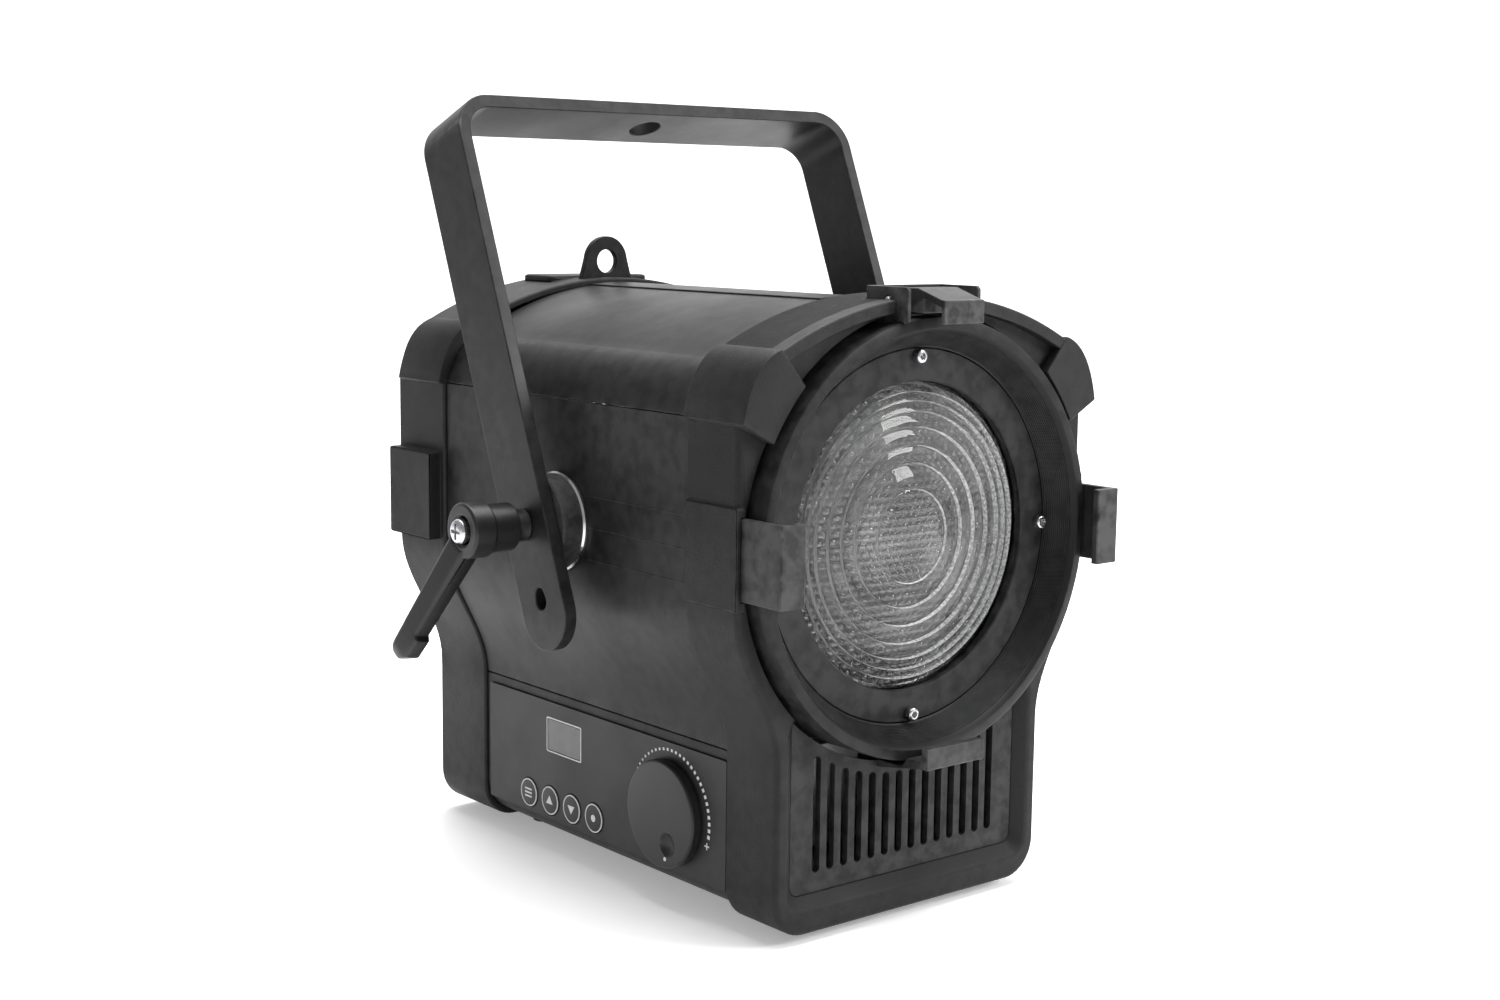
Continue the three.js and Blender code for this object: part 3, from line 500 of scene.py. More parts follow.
# ---- housing outline ----
def reflected(points):
    return [(-x, z) for x, z in reversed(points)]


def bezier(p0, p1, p2, p3, count):
    points = []
    for k in range(count + 1):
        t = k / count
        weights = ((1 - t) ** 3, 3 * t * (1 - t) ** 2, 3 * t * t * (1 - t), t ** 3)
        points.append(tuple(sum(w * p[i] for w, p in zip(weights, (p0, p1, p2, p3))) for i in (0, 1)))
    return points


def quadratic(p0, p1, p2, count):
    third = [tuple(a + 2 * (b - a) / 3 for a, b in zip(end, p1)) for end in (p0, p2)]
    return bezier(p0, third[0], third[1], p2, count)


def right_half(form, inset=0.0, eave_x=None):
    """The right side of the housing's outline, from the shoulder down to the bottom."""
    centre = form["apex"] - form["roof"]
    half = asin(form["shoulder"] / form["roof"])
    radius = form["roof"] - inset
    shoulder = (radius * sin(half), centre + radius * cos(half))
    side = form["side"] - inset
    eave = (eave_x or form["side"]) - inset
    base = form["base"] - inset
    bottom = form["bottom"] + inset
    corner = BASE_CORNER - inset
    bend = (HIP_Z - WAIST_Z) * 0.37
    pull = (form["pull"][0] - inset, form["pull"][1] - inset)
    points = quadratic(shoulder, pull, (eave, form["eave"]), 14)
    points += bezier((side, HIP_Z), (side, HIP_Z - bend), (base, WAIST_Z + bend), (base, WAIST_Z), 16)
    points += arc(base - corner, bottom + corner, corner, 0, -90, 10)
    if eave > side:
        points.insert(15, (side, form["eave"] - GAP))
    return points


def roof_points(form, inset=0.0, count=40):
    """The roof's arc, from the left shoulder to the right one."""
    centre = form["apex"] - form["roof"]
    half = degrees(asin(form["shoulder"] / form["roof"]))
    return arc(0, centre, form["roof"] - inset, 90 + half, 90 - half, count)


def housing_outline(form, inset=0.0, eave_x=None):
    right = right_half(form, inset, eave_x)
    return roof_points(form, inset)[1:-1] + right + reflected(right)


def shelled(form, start, stop, rounding, eave_x=None):
    """The housing's outline as a solid with both end edges rounded off."""
    steps = [(0.0, 1.0), (0.15, 0.6), (0.45, 0.25), (1.0, 0.0)]
    sections = [(start + rounding * a, housing_outline(form, rounding * b, eave_x)) for a, b in steps]
    sections += [(stop - 0.4 * a, housing_outline(form, 0.4 * b, eave_x)) for a, b in reversed(steps)]
    return loft("y", sections)


# ---- front bezel ----
def vent_cutters():
    """The upright slots; their top ends hide behind the ring."""
    count, pitch, half, foot, hidden = 14, 7.12, 1.85, -124.7, 92
    slots = []
    for k in range(count):
        x = (k - (count - 1) / 2) * pitch
        top = -sqrt(hidden ** 2 - x ** 2)
        slots.append(prism("y", rounded(x - half, x + half, foot, top, half - 0.01, 8), FACE - 2, 6))
    return slots


def recess_cutter():
    """The recess under the ring, its sides drawn in towards the floor."""
    mouth = rounded(-65.5, 65.5, -138.3, -60, 9, 8)
    middle = rounded(-63.5, 63.5, -136.5, -61, 7.5, 8)
    floor = rounded(-59.5, 59.5, -132.3, -62, 4.5, 8)
    return loft("y", [(FACE - 1, mouth), (FACE - 0.01, mouth), (FACE + 1, middle), (1, floor), (6, floor)])


def clip_cutters():
    """Room for the three clips' straps along the ring."""
    outer, inner, half, rear = 88.9, 70, 15.3, 13.3
    side = block((-outer, BEZEL_LOW.y - 1, -half), (-inner, rear, half))
    bottom = block((-half, BEZEL_LOW.y - 1, -outer), (half, rear, -inner))
    return side, mirrored(side), bottom


def latch_notch():
    """Room for the latch's bracket at the top."""
    return block((-19.6, BEZEL_LOW.y - 1, 80), (19.6, 9.5, 95))


def pad(x, start, stop):
    """A raised pad on a bezel's left side, with its edges eased."""
    half = 19
    outline = rounded(start, stop, -half, half, 1.2)
    inner = rounded(start + 0.5, stop - 0.5, -half + 0.5, half - 0.5, 0.7)
    return loft("x", [(-x, inner), (-x + 0.5, outline), (-BEZEL["side"] + WALL, outline)])


def front_frame():
    """The bezel's face and walls."""
    rear = BEZEL_HIGH.y
    body = shelled(BEZEL, FACE, rear, 2.2)
    left = pad(91.2, FACE - 0.8, rear)
    joined(body, mirrored(left), left)
    hollow = prism("y", housing_outline(BEZEL, WALL), 4, rear + 1)
    ring_bore = bar("y", RING_OPENING, BEZEL_LOW.y - 1, 5, count=160)
    cut(body, hollow, ring_bore, *clip_cutters(), latch_notch(), recess_cutter())
    bevelled(body, 0.45)
    finish_piece(body, "front_bezel_frame", "cast_paint", nodes=["front_bezel"])


def front_grille():
    """The recess's floor, with its row of upright slots under the ring."""
    half, low, radius = 59.3, -132.1, 4.3
    meeting = degrees(acos(half / RING_OPENING))
    outline = arc(radius - half, low + radius, radius, 180, 270)
    outline += arc(half - radius, low + radius, radius, -90, 0)
    outline += arc(0, 0, RING_OPENING, -meeting, meeting - 180, 40)
    plate = prism("y", outline, 1.05, 3.9)
    cut(plate, *vent_cutters())
    finish_piece(plate, "front_grille", "cast_paint")


def front_brow():
    """The arched lip over the lens."""
    front, rear = BEZEL_LOW.y, BEZEL_HIGH.y
    middle = BEZEL["apex"] - BEZEL["roof"]
    body = shelled(BEZEL, front, rear, 1.0)
    ring_bore = bar("y", RING_OPENING + 0.5, front - 1, rear + 1, count=160)
    reach = BEZEL["roof"] - 5
    half = degrees(asin(LIP_X / reach))
    side, top = EAR_INNER_TOP
    under = [(-side, top), (-side, 0), (side, 0), (side, top)]
    under += arc(0, middle, reach, 90 - half, 90 + half, 40)
    below = [(-100, -160), (100, -160), (100, 60), (73, 48), (-73, 48), (-100, 60)]
    inside = prism("y", under, front - 1, 0.5)
    cut(body, ring_bore, inside, prism("y", below, front - 1, rear + 1), latch_notch())
    bevelled(body, 0.5)
    finish_piece(body, "front_bezel_brow", "cast_paint")


def corner_ear(front, rear, name, inner):
    """A corner guard that wraps a shoulder of a bezel, a little proud of it."""
    proud = 0.9
    outer = right_half(BEZEL, -proud, EAR_X)[:15]
    ear = prism("y", outer + inner, front, rear)
    bevelled(ear, 0.55, 3)
    other = mirrored(ear)
    finish_piece(ear, f"{name}_right", "cast_paint")
    finish_piece(other, f"{name}_left", "cast_paint")


def ears():
    bore = RING_OPENING + 0.5
    low, high = (degrees(atan2(z, x)) for x, z in (EAR_INNER_LOW, EAR_INNER_TOP))
    corner_ear(BEZEL_LOW.y - 0.4, BEZEL_HIGH.y + 0.2, "front_ear", arc(0, 0, bore, low, high, 10))
    rear_inner = [(BEZEL["side"] - 1, 47.5), (84, 58), (74, 71)]
    corner_ear(REAR_LOW.y - 0.2, REAR_HIGH.y - 3, "rear_ear", rear_inner)


def rear_frame():
    start, stop = REAR_LOW.y, REAR_HIGH.y
    body = shelled(BEZEL, start, stop, 1.2)
    left = pad(REAR_HIGH.x, 199, stop)
    foot = rounded(-27, 27, 208, 231, 3)
    top = loft("z", [(90.5, foot), (92.9, foot), (93.4, rounded(-26, 26, 209, 230, 3))])
    joined(body, mirrored(left), left, top)
    hollow = prism("y", housing_outline(BEZEL, WALL), start - 1, stop + 1)
    eye_slot = block((-14.8, 202.2, 80), (14.8, 205.8, 95))
    cut(body, hollow, eye_slot)
    bevelled(body, 0.6)
    finish_piece(body, "rear_bezel_frame", "cast_paint", nodes=["rear_bezel"])


# ---- sheet panels between the bezels ----
def skin(outer, inner):
    """A sheet between two lines, as long as the shell."""
    return prism("y", outer + list(reversed(inner)), SHELL_LOW.y, SHELL_HIGH.y)


def trimmed(points, low, high):
    """The part of a falling line of points between two heights, ending exactly on them."""
    kept = []
    for p, q in zip(points, points[1:]):
        for z in (high, low):
            if p[1] > z > q[1]:
                t = (p[1] - z) / (p[1] - q[1])
                kept.append((p[0] + (q[0] - p[0]) * t, z))
        if low <= q[1] <= high:
            kept.append(q)
    if low <= points[0][1] <= high:
        kept.insert(0, points[0])
    return sorted(kept, key=lambda p: -p[1])


def roof_cover():
    outlines = []
    for inset in (0, SHEET):
        right = trimmed(right_half(SHELL, inset), SHELL["eave"] + GAP / 2, 200)
        outlines.append(reflected(right) + roof_points(SHELL, inset)[1:-1] + right)
    cover = skin(*outlines)
    bevelled(cover, 0.35)
    finish_piece(cover, "roof_cover", "sheet_paint", nodes=["top_cover"])
    bend, half, step = 140, 14, 2
    bottom = [(x, -1.5) for x in range(-half, half + 1, step)]
    top = [(x, 0.7) for x in range(half, -half - 1, -step)]
    crown = [(x, SHELL["apex"] - bend + sqrt(bend ** 2 - x * x) + lift) for x, lift in bottom + top]
    strip = prism("y", crown, 40.6, 200)
    bevelled(strip, 0.3)
    finish_piece(strip, "roof_strip", "sheet_paint")


def side_sheet(side):
    """One side panel with its stud boss; the left one is drawn and the right one mirrored."""
    outlines = []
    for inset in (0, SHEET):
        edge = trimmed(right_half(SHELL, inset), SEAM_Z + GAP, SHELL["eave"] - GAP / 2)
        outlines.append([(-x, z) for x, z in edge])
    panel = skin(*outlines)
    joined(panel, bar("x", 11, -87.5, -80, YOKE_PIVOT.y, 0))
    cut(panel, bar("x", 4.3, -95, -70, YOKE_PIVOT.y, 0, 32))
    face, proud = -SHELL["side"], 0.35
    ribs = []
    for z in (12.3, -0.2, -12.8):
        section = [(face - proud, z), (face + 0.3, z - proud), (face + 0.3, z + proud)]
        ribs.append(prism("y", section, 29, 91))
    merged(panel, *ribs)
    panel = on_side(panel, side)
    bevelled(panel, 0.3)
    finish_piece(panel, f"side_sheet_{side}", "sheet_paint", nodes=[f"side_panel_{side}"])


def control_cutters(margin, key_radius, count):
    """Cutters for the window, the keys and the knob's shaft, through the left side."""
    outside, inside = -75, -60
    low, high = WINDOW_LOW, WINDOW_HIGH
    cutters = [block((outside, low.y - margin, low.z - margin), (inside, high.y + margin, high.z + margin))]
    for key in KEYS:
        cutters.append(bar("x", key_radius, outside, inside, *centre(f"key_{key}")[1:], count))
    cutters.append(bar("x", 3.6, outside, inside, *KNOB_CENTRE, 24))
    return cutters


def tray():
    outlines = []
    for inset in (0, SHEET):
        right = trimmed(right_half(SHELL, inset), -200, SEAM_Z)
        outlines.append(right + reflected(right))
    body = skin(*outlines)
    cut(body, *control_cutters(0.6, 6.8, 40))
    bevelled(body, 0.35)
    finish_piece(body, "base_tray_sheet", "tray_paint", nodes=["base_tray"])


# ---- control panel ----
def printed(outlines, name, holes=()):
    """White print: thin raised shapes on the panel's face."""
    face = PANEL_LOW.x
    shapes = [prism("x", outline, face - PRINT, face + 0.1) for outline in outlines]
    made = merged(*shapes) if len(shapes) > 1 else shapes[0]
    if holes:
        cut(made, *[prism("x", outline, face - 1, face + 1) for outline in holes])
    return finish_piece(made, name, "white_print")


def panel_label():
    outline = rounded(26.6, 192.5, PANEL_LOW.z, PANEL_HIGH.z, 1)
    body = prism("x", outline, PANEL_LOW.x, PANEL_HIGH.x)
    cut(body, *control_cutters(-0.6, 6.6, 48))
    bevelled(body, 0.12)
    finish_piece(body, "panel_label", "label_film", nodes=["control_panel"])
    low, high = WINDOW_LOW, WINDOW_HIGH
    printed([rounded(low.y, high.y, low.z, high.z, 0.8)], "window_outline",
            [rounded(low.y + 0.5, high.y - 0.5, low.z + 0.5, high.z - 0.5, 0.5)])


def zoom_scale():
    """Marks round the knob that grow towards its full end, with a plus there and a minus opposite."""
    radius, pitch, count, arm, line = 25, 6.1, 34, 1.4, 0.3
    face = PANEL_LOW.x
    front, back = face - PRINT, face + 0.1
    marks = []
    for k in range(count):
        size = 0.36 + 0.4 * (1 - k / count)
        angle = radians(-10 + k * pitch)
        mark = prism("x", rounded(-size, size, -size, size, 0.15, 2), front, back)
        mark.data.transform(Matrix.Rotation(-angle, 4, "X"))
        mark.data.transform(Matrix.Translation((0, KNOB_CENTRE[0] - radius * cos(angle),
                                                KNOB_CENTRE[1] + radius * sin(angle))))
        marks.append(mark)
    for angle, upright in ((-19, True), (199, False)):
        y = KNOB_CENTRE[0] - radius * cos(radians(angle))
        z = KNOB_CENTRE[1] + radius * sin(radians(angle))
        across = rounded(y - arm, y + arm, z - line, z + line, 0.1, 2)
        marks.append(prism("x", across, front, back))
        if upright:
            along = rounded(y - line, y + line, z - arm, z + arm, 0.1, 2)
            marks.append(prism("x", along, front - 0.01, back))
    finish_piece(merged(*marks), "zoom_scale", "white_print")


def symbol_outlines(key, y, z):
    if key == "menu":
        return [rounded(y - 2.6, y + 2.6, z + d - 0.35, z + d + 0.35, 0.2, 2) for d in (-1.6, 0, 1.6)]
    if key == "enter":
        return [circle(y, z, 1.5, 20)]
    up = 1 if key == "up" else -1
    return [[(y - 2.4, z - 1.4 * up), (y + 2.4, z - 1.4 * up), (y, z + 2.2 * up)]]


def key_piece(key):
    low, high = span(f"key_{key}")
    face, radius = low.x, (high.y - low.y) / 2
    y, z = centre(f"key_{key}")[1:]
    profile = [(0, face - 0.15), (3, face - 0.12), (5, face), (radius - 0.3, face + 0.15),
               (radius, face + 0.5), (radius, high.x), (0, high.x)]
    cap = smooth(turned("x", profile, y, z, 64))
    finish_piece(cap, f"key_cap_{key}", "key_film", f"{key}_button", nodes=[f"key_{key}"])
    inner, outer = 5.55, 6.05
    section = [(inner, face - 0.06), (outer, face - 0.02), (outer, face + 0.6), (inner, face + 0.6)]
    ring = turned("x", section, y, z, 64)
    marks = [prism("x", outline, face - 0.22, face + 0.3) for outline in symbol_outlines(key, y, z)]
    merged(ring, *marks)
    finish_piece(ring, f"key_mark_{key}", "white_print", f"{key}_button")


def display():
    low, high = WINDOW_LOW, WINDOW_HIGH
    inset = 0.7
    outline = rounded(low.y + inset, high.y - inset, low.z + inset, high.z - inset, 0.4)
    pane = prism("x", outline, low.x - 0.02, high.x)
    bevelled(pane, 0.25)
    finish_piece(pane, "display_pane", "display_glass", nodes=["display_window"])


def on_knob(turn, reach):
    """A point on the knob's face, by angle and distance from its middle."""
    angle = radians(turn)
    return KNOB_CENTRE[0] + reach * cos(angle), KNOB_CENTRE[1] + reach * sin(angle)


def knob():
    """A smooth knob with a finger dimple and a white mark beyond it."""
    face, back, radius = KNOB_LOW.x, KNOB_HIGH.x, (KNOB_HIGH.y - KNOB_LOW.y) / 2
    ease, waist = 1.1, radius - 0.6
    edge = [(radius - ease + ease * sin(radians(t)), face + ease - ease * cos(radians(t)))
            for t in range(0, 91, 15)]
    profile = [(0, face)] + edge + [(radius, back - 1.2), (waist, back - 0.8), (waist, back), (0, back)]
    body = smooth(turned("x", profile, *KNOB_CENTRE, 128), 40)
    ball, middle = 7, face - 5
    hollow = [(0, middle - ball)]
    for t in range(6, 175, 6):
        hollow.append((ball * sin(radians(t)), middle - ball * cos(radians(t))))
    hollow.append((0, middle + ball))
    cut(body, turned("x", hollow, *on_knob(-116, 12.4), 64))
    smooth(body, 25)
    finish_piece(body, "knob_body", "black_plastic", "zoom_drive", nodes=["zoom_knob"])
    section = [(0, face - 0.12), (0.75, face - 0.1), (0.95, face + 0.1), (0, face + 0.1)]
    dot = turned("x", section, *on_knob(-103, 17.6), 24)
    finish_piece(smooth(dot), "knob_mark", "white_print", "zoom_drive")


# ---- lens and ring ----
def ring_piece():
    """The lens ring, its cone turned with fine grooves."""
    low, high, radius = RING_LOW.y, RING_HIGH.y, RING_HIGH.x
    lip, seat = RING_LIP, RETAINER_HIGH.x + 0.3
    grooves = 14
    cone = []
    for k in range(grooves):
        t0, t1, t2 = k / grooves, (k + 0.72) / grooves, (k + 0.86) / grooves
        for t, dip in ((t0, 0.0), (t1, 0.0), (t2, 0.42)):
            t = 0.16 + 0.8 * t
            cone.append((lip + (seat - lip) * t + dip, low + (0 - low) * t + dip * 0.5))
    profile = ([(61, 10), (64.2, 10), (64.2, 2.8), (seat, 2.8), (seat, 0)] + list(reversed(cone))
               + [(lip + (seat - lip) * 0.06, low * 0.94), (lip, low + 0.35), (lip + 0.4, low)]
               + [(radius - 1.0, low), (radius - 0.3, low + 0.3), (radius, low + 1.0)]
               + [(radius, high), (82, high), (82, 14), (61, 14)])
    ring = smooth(turned("y", profile, count=192), 28)
    finish_piece(ring, "lens_barrel", "ring_paint", nodes=["lens_ring"])


def retainer():
    outer = RETAINER_HIGH.x
    back = 2.5
    profile = [(APERTURE, 0.5), (APERTURE + 0.5, 0), (outer - 0.4, 0), (outer, 0.4), (outer, back),
               (APERTURE, back)]
    ring = smooth(turned("y", profile, count=192), 28)
    finish_piece(ring, "retainer_ring", "ring_paint", nodes=["lens_retainer"])


def retainer_screws():
    for side in ("top", "right", "bottom", "left"):
        face = span(f"retainer_screw_{side}")[0].y
        x, _, z = centre(f"retainer_screw_{side}")
        profile = [(0, face), (1.9, face), (2.45, face + 0.25), (2.75, face + 0.8), (2.75, -GAP), (0, -GAP)]
        head = turned("y", profile, x, z, 40)
        cut(head, prism("y", circle(x, z, 1.45, 6), face - 1, face + 1.7))
        bevelled(head, 0.12)
        finish_piece(head, f"screw_head_{side}", "zinc", nodes=[f"retainer_screw_{side}"])


# Each zone of the lens: its outer radius, where it ends and the height of the riser after it.
ZONES = ((9.3, 0.0, 0.5), (18.2, 1.4, 0.9), (28, LENS_PLANE, 1.7), (35, LENS_PLANE, 1.9),
         (42, LENS_PLANE, 2.1), (48, LENS_PLANE, 2.2), (52, LENS_PLANE, 2.2), (55.5, LENS_PLANE, 2.1),
         (58.5, LENS_PLANE, 0))


def zone_profile():
    """The stepped front: each zone curves back, and a riser lifts the next one."""
    points = [(0, LENS_CROWN)]
    inner, start = 0, LENS_CROWN
    for outer, end, riser in ZONES:
        for step in (0.35, 0.7, 1.0):
            points.append((inner + (outer - inner) * step, start + (end - start) * step ** 1.7))
        inner, start = outer, end - riser
        if riser:
            points.append((outer + 0.25, start))
    return points


def lens():
    """The stepped glass; its risers get the ground finish."""
    edge, back = span("fresnel_lens")[1].x, 7.6
    profile = zone_profile() + [(edge - 0.5, LENS_PLANE), (edge, LENS_PLANE + 0.5), (edge, back), (0, back)]
    glass = smooth(turned("y", profile, count=192), 20)
    finish_piece(glass, "lens_front", "lens_glass", nodes=["fresnel_lens"])
    glass.data.materials.append(MATERIALS["riser_glass"])
    for face in glass.data.polygons:
        across = Vector((face.center.x, 0, face.center.z - LENS.z)).normalized()
        if face.normal.dot(across) < -0.9:
            face.material_index = 1


def beads():
    """Hexagonally packed beads over the lens's back."""
    pitch, reach, rise, plane = 3.4, 60.5, 1.1, 9.0
    bm = bmesh.new()
    rings = ((1.0, 0.0), (0.78, 0.55), (0.42, 0.9))
    sides, row_pitch = 8, pitch * 0.866
    rows = int(reach / row_pitch) + 1
    for row in range(-rows, rows + 1):
        z = row * row_pitch
        for column in range(-24, 25):
            x = (column + 0.5 * (row % 2)) * pitch
            if hypot(x, z) > reach - 1:
                continue
            radius = pitch * 0.5 * random.uniform(0.93, 1.03)
            loops = []
            for size, height in rings:
                loops.append([bm.verts.new((u, plane - rise * height, v))
                              for u, v in circle(x, z, radius * size, sides)])
            top = bm.verts.new((x, plane - rise, z))
            for lower, upper in zip(loops, loops[1:]):
                stitch(bm, lower, upper)
            for k in range(sides):
                bm.faces.new((loops[-1][k], loops[-1][(k + 1) % sides], top))
            bm.faces.new(list(reversed(loops[0])))
    made = object_from(bm)
    front, back, edge = plane - 0.05, plane + 0.4, 63
    merged(made, turned("y", [(0, front), (edge, front), (edge, back), (0, back)], count=96))
    smooth(made, 80)
    finish_piece(made, "lens_back_beads", "stipple_glass")


def lens_cell():
    """Bright inner wall behind the lens's edge."""
    inner, outer, front, back = 60.6, 60.9, 10.2, 23
    wall = smooth(turned("y", [(inner, front), (outer, front), (outer, back), (inner, back)], count=160))
    finish_piece(wall, "lens_cell_wall", "bright_reflector")


# ---- clips, latch and eye ----
def clip_piece(side):
    """A spring-steel clip: a strap along the ring with its front end bent in as a hook."""
    outer, inner, front, rear, lip = 88.6, 85.6, -26, 13, -22.6
    if side == "bottom":
        hook = [(-84.7, front + 0.5), (-84.2, front), (-76.8, front), (-76.3, front + 0.5),
                (-76.3, lip - 0.3), (-76.6, lip), (-81.4, lip), (-82, -22), (-82, -14.5), (-inner, -12.2),
                (-inner, rear), (-outer, rear), (-outer, 0), (-84.7, -22)]
    else:
        hook = [(-outer, front + 0.6), (-outer + 0.6, front), (-77.6, front), (-77, front + 0.6),
                (-77, lip - 0.3), (-77.3, lip), (-85.0, lip), (-inner, -22.0), (-inner, rear), (-outer, rear)]
    body = prism("z", hook, -15, 15)
    bevelled(body, 0.35, 2, 25)
    turn = {"left": 0, "right": 180, "bottom": -90}[side]
    body.data.transform(Matrix.Rotation(radians(turn), 4, "Y"))
    finish_piece(body, f"clip_{side}", "clip_paint", nodes=[f"frame_clip_{side}"])


def bracket():
    side = [(-14, 81.5), (8.8, 81.5), (8.8, 96.2), (-12.8, 96.2), (-14, 95)]
    body = prism("x", side, -19, 19)
    inside = block((-17.4, -15, 80), (17.4, 5.8, 100))
    ring_room = bar("y", RING_HIGH.x + GAP, -20, 20, count=128)
    cut(body, inside, ring_room, bar("x", 1.8, -20, 20, *PIN_CENTRE, 24))
    bevelled(body, 0.35)
    finish_piece(body, "latch_housing", "clip_paint", nodes=["latch_bracket"])


def latch():
    """The tongue that closes the top of the frame channel."""
    back = 4.6
    pin_y, pin_z = PIN_CENTRE
    side = ([(-24.5, 82.8), (-22.6, 82.8), (-22.6, 89), (-13.5, 91.8), (-13.5, 86.4), (pin_y, 86.4)]
            + arc(pin_y, pin_z, back, -90, 90, 12) + [(-10, 95.8), (-22.3, 91.9), (-24.5, 91.6)])
    body = prism("x", side, -10.4, 10.4)
    cut(body, bar("x", 1.8, -20, 20, *PIN_CENTRE, 24))
    bevelled(body, 0.5, 3)
    finish_piece(body, "latch_tongue", "clip_paint", "latch", nodes=["top_latch"])


def latch_pin():
    low, high = span("latch_pin")
    radius, ease = (high.z - low.z) / 2, 0.3
    profile = [(0, low.x), (radius - ease, low.x), (radius, low.x + ease), (radius, high.x - ease),
               (radius - ease, high.x), (0, high.x)]
    pin = turned("x", profile, *PIN_CENTRE, 32)
    finish_piece(smooth(pin), "latch_pivot_pin", "steel", nodes=["latch_pin"])


def latch_spring():
    """A short coil of wire round the pin."""
    wire, coil, turns, start, length = 0.45, 2.7, 4, 11.2, 3.2
    sides, per_turn = 8, 24
    steps = per_turn * turns
    pin_y, pin_z = PIN_CENTRE
    bm = bmesh.new()
    loops = []
    for k in range(steps + 1):
        t = 2 * pi * k / per_turn
        x = start + length * k / steps
        loop = []
        for j in range(sides):
            a = 2 * pi * j / sides
            r = coil + wire * cos(a)
            place = (x + wire * sin(a), pin_y + r * cos(t), pin_z + r * sin(t))
            loop.append(bm.verts.new(place))
        loops.append(loop)
    for lower, upper in zip(loops, loops[1:]):
        stitch(bm, lower, upper)
    bm.faces.new(loops[0])
    bm.faces.new(loops[-1])
    finish_piece(smooth(object_from(bm), 60), "latch_coil_spring", "steel")


def safety_eye():
    hole_z, top, base = 99.8, 11.2, 14.5
    outline = [(-base, 86), (base, 86), (base, 89.4)] + arc(0, hole_z, top, 8, 172, 28) + [(-base, 89.4)]
    plate = prism("y", outline, 202.5, 205.5)
    cut(plate, bar("y", 5.3, 200, 208, 0, hole_z, 48))
    bevelled(plate, 0.35)
    finish_piece(plate, "safety_eye_plate", "sheet_paint", nodes=["safety_eye"])


# ---- yoke and clamps ----
def to_yoke(obj):
    obj.data.transform(Matrix.Translation(YOKE_PIVOT) @ Matrix.Rotation(-YOKE_LEAN, 4, "X"))
    return obj


def yoke():
    outer, inner = YOKE_OUTER, YOKE_OUTER - YOKE_BAR
    bend_x, bend_z = outer - YOKE_CORNER, YOKE_REACH - YOKE_CORNER
    tight = YOKE_CORNER - YOKE_BAR
    outline = ([(inner, -YOKE_TAIL), (outer, -YOKE_TAIL)] + arc(bend_x, bend_z, YOKE_CORNER, 0, 90, 20)
               + arc(-bend_x, bend_z, YOKE_CORNER, 90, 180, 20) + [(-outer, -YOKE_TAIL), (-inner, -YOKE_TAIL)]
               + arc(-bend_x, bend_z, tight, 180, 90, 20) + arc(bend_x, bend_z, tight, 90, 0, 20))
    body = prism("y", outline, -YOKE_HALF, YOKE_HALF)
    side = ([(YOKE_HALF, YOKE_REACH + 1), (-YOKE_HALF, YOKE_REACH + 1)]
            + arc(0, YOKE_HALF - YOKE_TAIL, YOKE_HALF, 180, 360, 40))
    combined(body, "INTERSECT", prism("x", side, -outer - 1, outer + 1))
    spare = arc(0, -28.6, 2.9, 20, 160, 10) + arc(0, -30.9, 3.6, 180, 360, 16)
    cut(body, bar("x", 4.4, -120, 120, count=40), prism("x", spare, -120, 120),
        bar("z", 7, YOKE_REACH - 20, YOKE_REACH + 1, count=48))
    bevelled(body, 0.55, 3)
    finish_piece(to_yoke(body), "yoke_bail", "yoke_paint", "bail", nodes=["yoke"])


def friction_disc(side):
    """A fibre disc on a plated flange washer, outside the boss."""
    low, high = span(f"friction_disc_{side}")
    sign, outer, inner = (-1, low.x, high.x) if side == "left" else (1, high.x, low.x)
    y, radius, bore, ease = YOKE_PIVOT.y, (high.y - low.y) / 2, 4.5, 0.8
    flange = inner + sign * 1.8
    edge = radius - ease
    disc = [(bore, flange), (edge, flange), (edge, outer - sign * ease), (edge - ease, outer), (bore, outer)]
    finish_piece(smooth(turned("x", disc, y, 0, 96)), f"fibre_disc_{side}", "friction_fibre",
                 nodes=[f"friction_disc_{side}"])
    washer = [(bore, inner), (radius, inner), (radius, flange - sign * 0.7), (radius - 0.7, flange),
              (bore, flange)]
    finish_piece(smooth(turned("x", washer, y, 0, 96)), f"flange_washer_{side}", "zinc")


def lever_grip():
    """The handle: a tapering squarish bar from the hub to a hooked tip, drawn along +Y.

    Each station has a distance, half a width, half a thickness and a sideways shift.
    """
    stations = ((0, 6.2, 4.6, 0), (10, 6.1, 4.5, 0), (30, 5.6, 4.2, 0), (50, 5.2, 4.0, 0),
                (51.2, 6.2, 4.0, -1.0), (60, 5.9, 3.9, -0.9), (LEVER_LENGTH - 2.5, 4.6, 3.5, 0.2),
                (LEVER_LENGTH, 2.6, 2.2, 0.8))
    hub = Matrix.Translation((-128.5, YOKE_PIVOT.y, 0))
    sections = []
    for y, half_width, half_thick, shift in stations:
        outline = []
        for k in range(24):
            t = 2 * pi * k / 24
            squared = [copysign(abs(f(t)) ** 0.42, f(t)) for f in (cos, sin)]
            outline.append((half_thick * squared[0], half_width * squared[1] + shift))
        sections.append((y, outline))
    grip = loft("y", sections)
    grip.data.transform(Matrix.Rotation(radians(LEVER_SPLAY), 4, "Z"))
    grip.data.transform(hub @ Matrix.Rotation(radians(LEVER_DROOP), 4, "X"))
    return grip


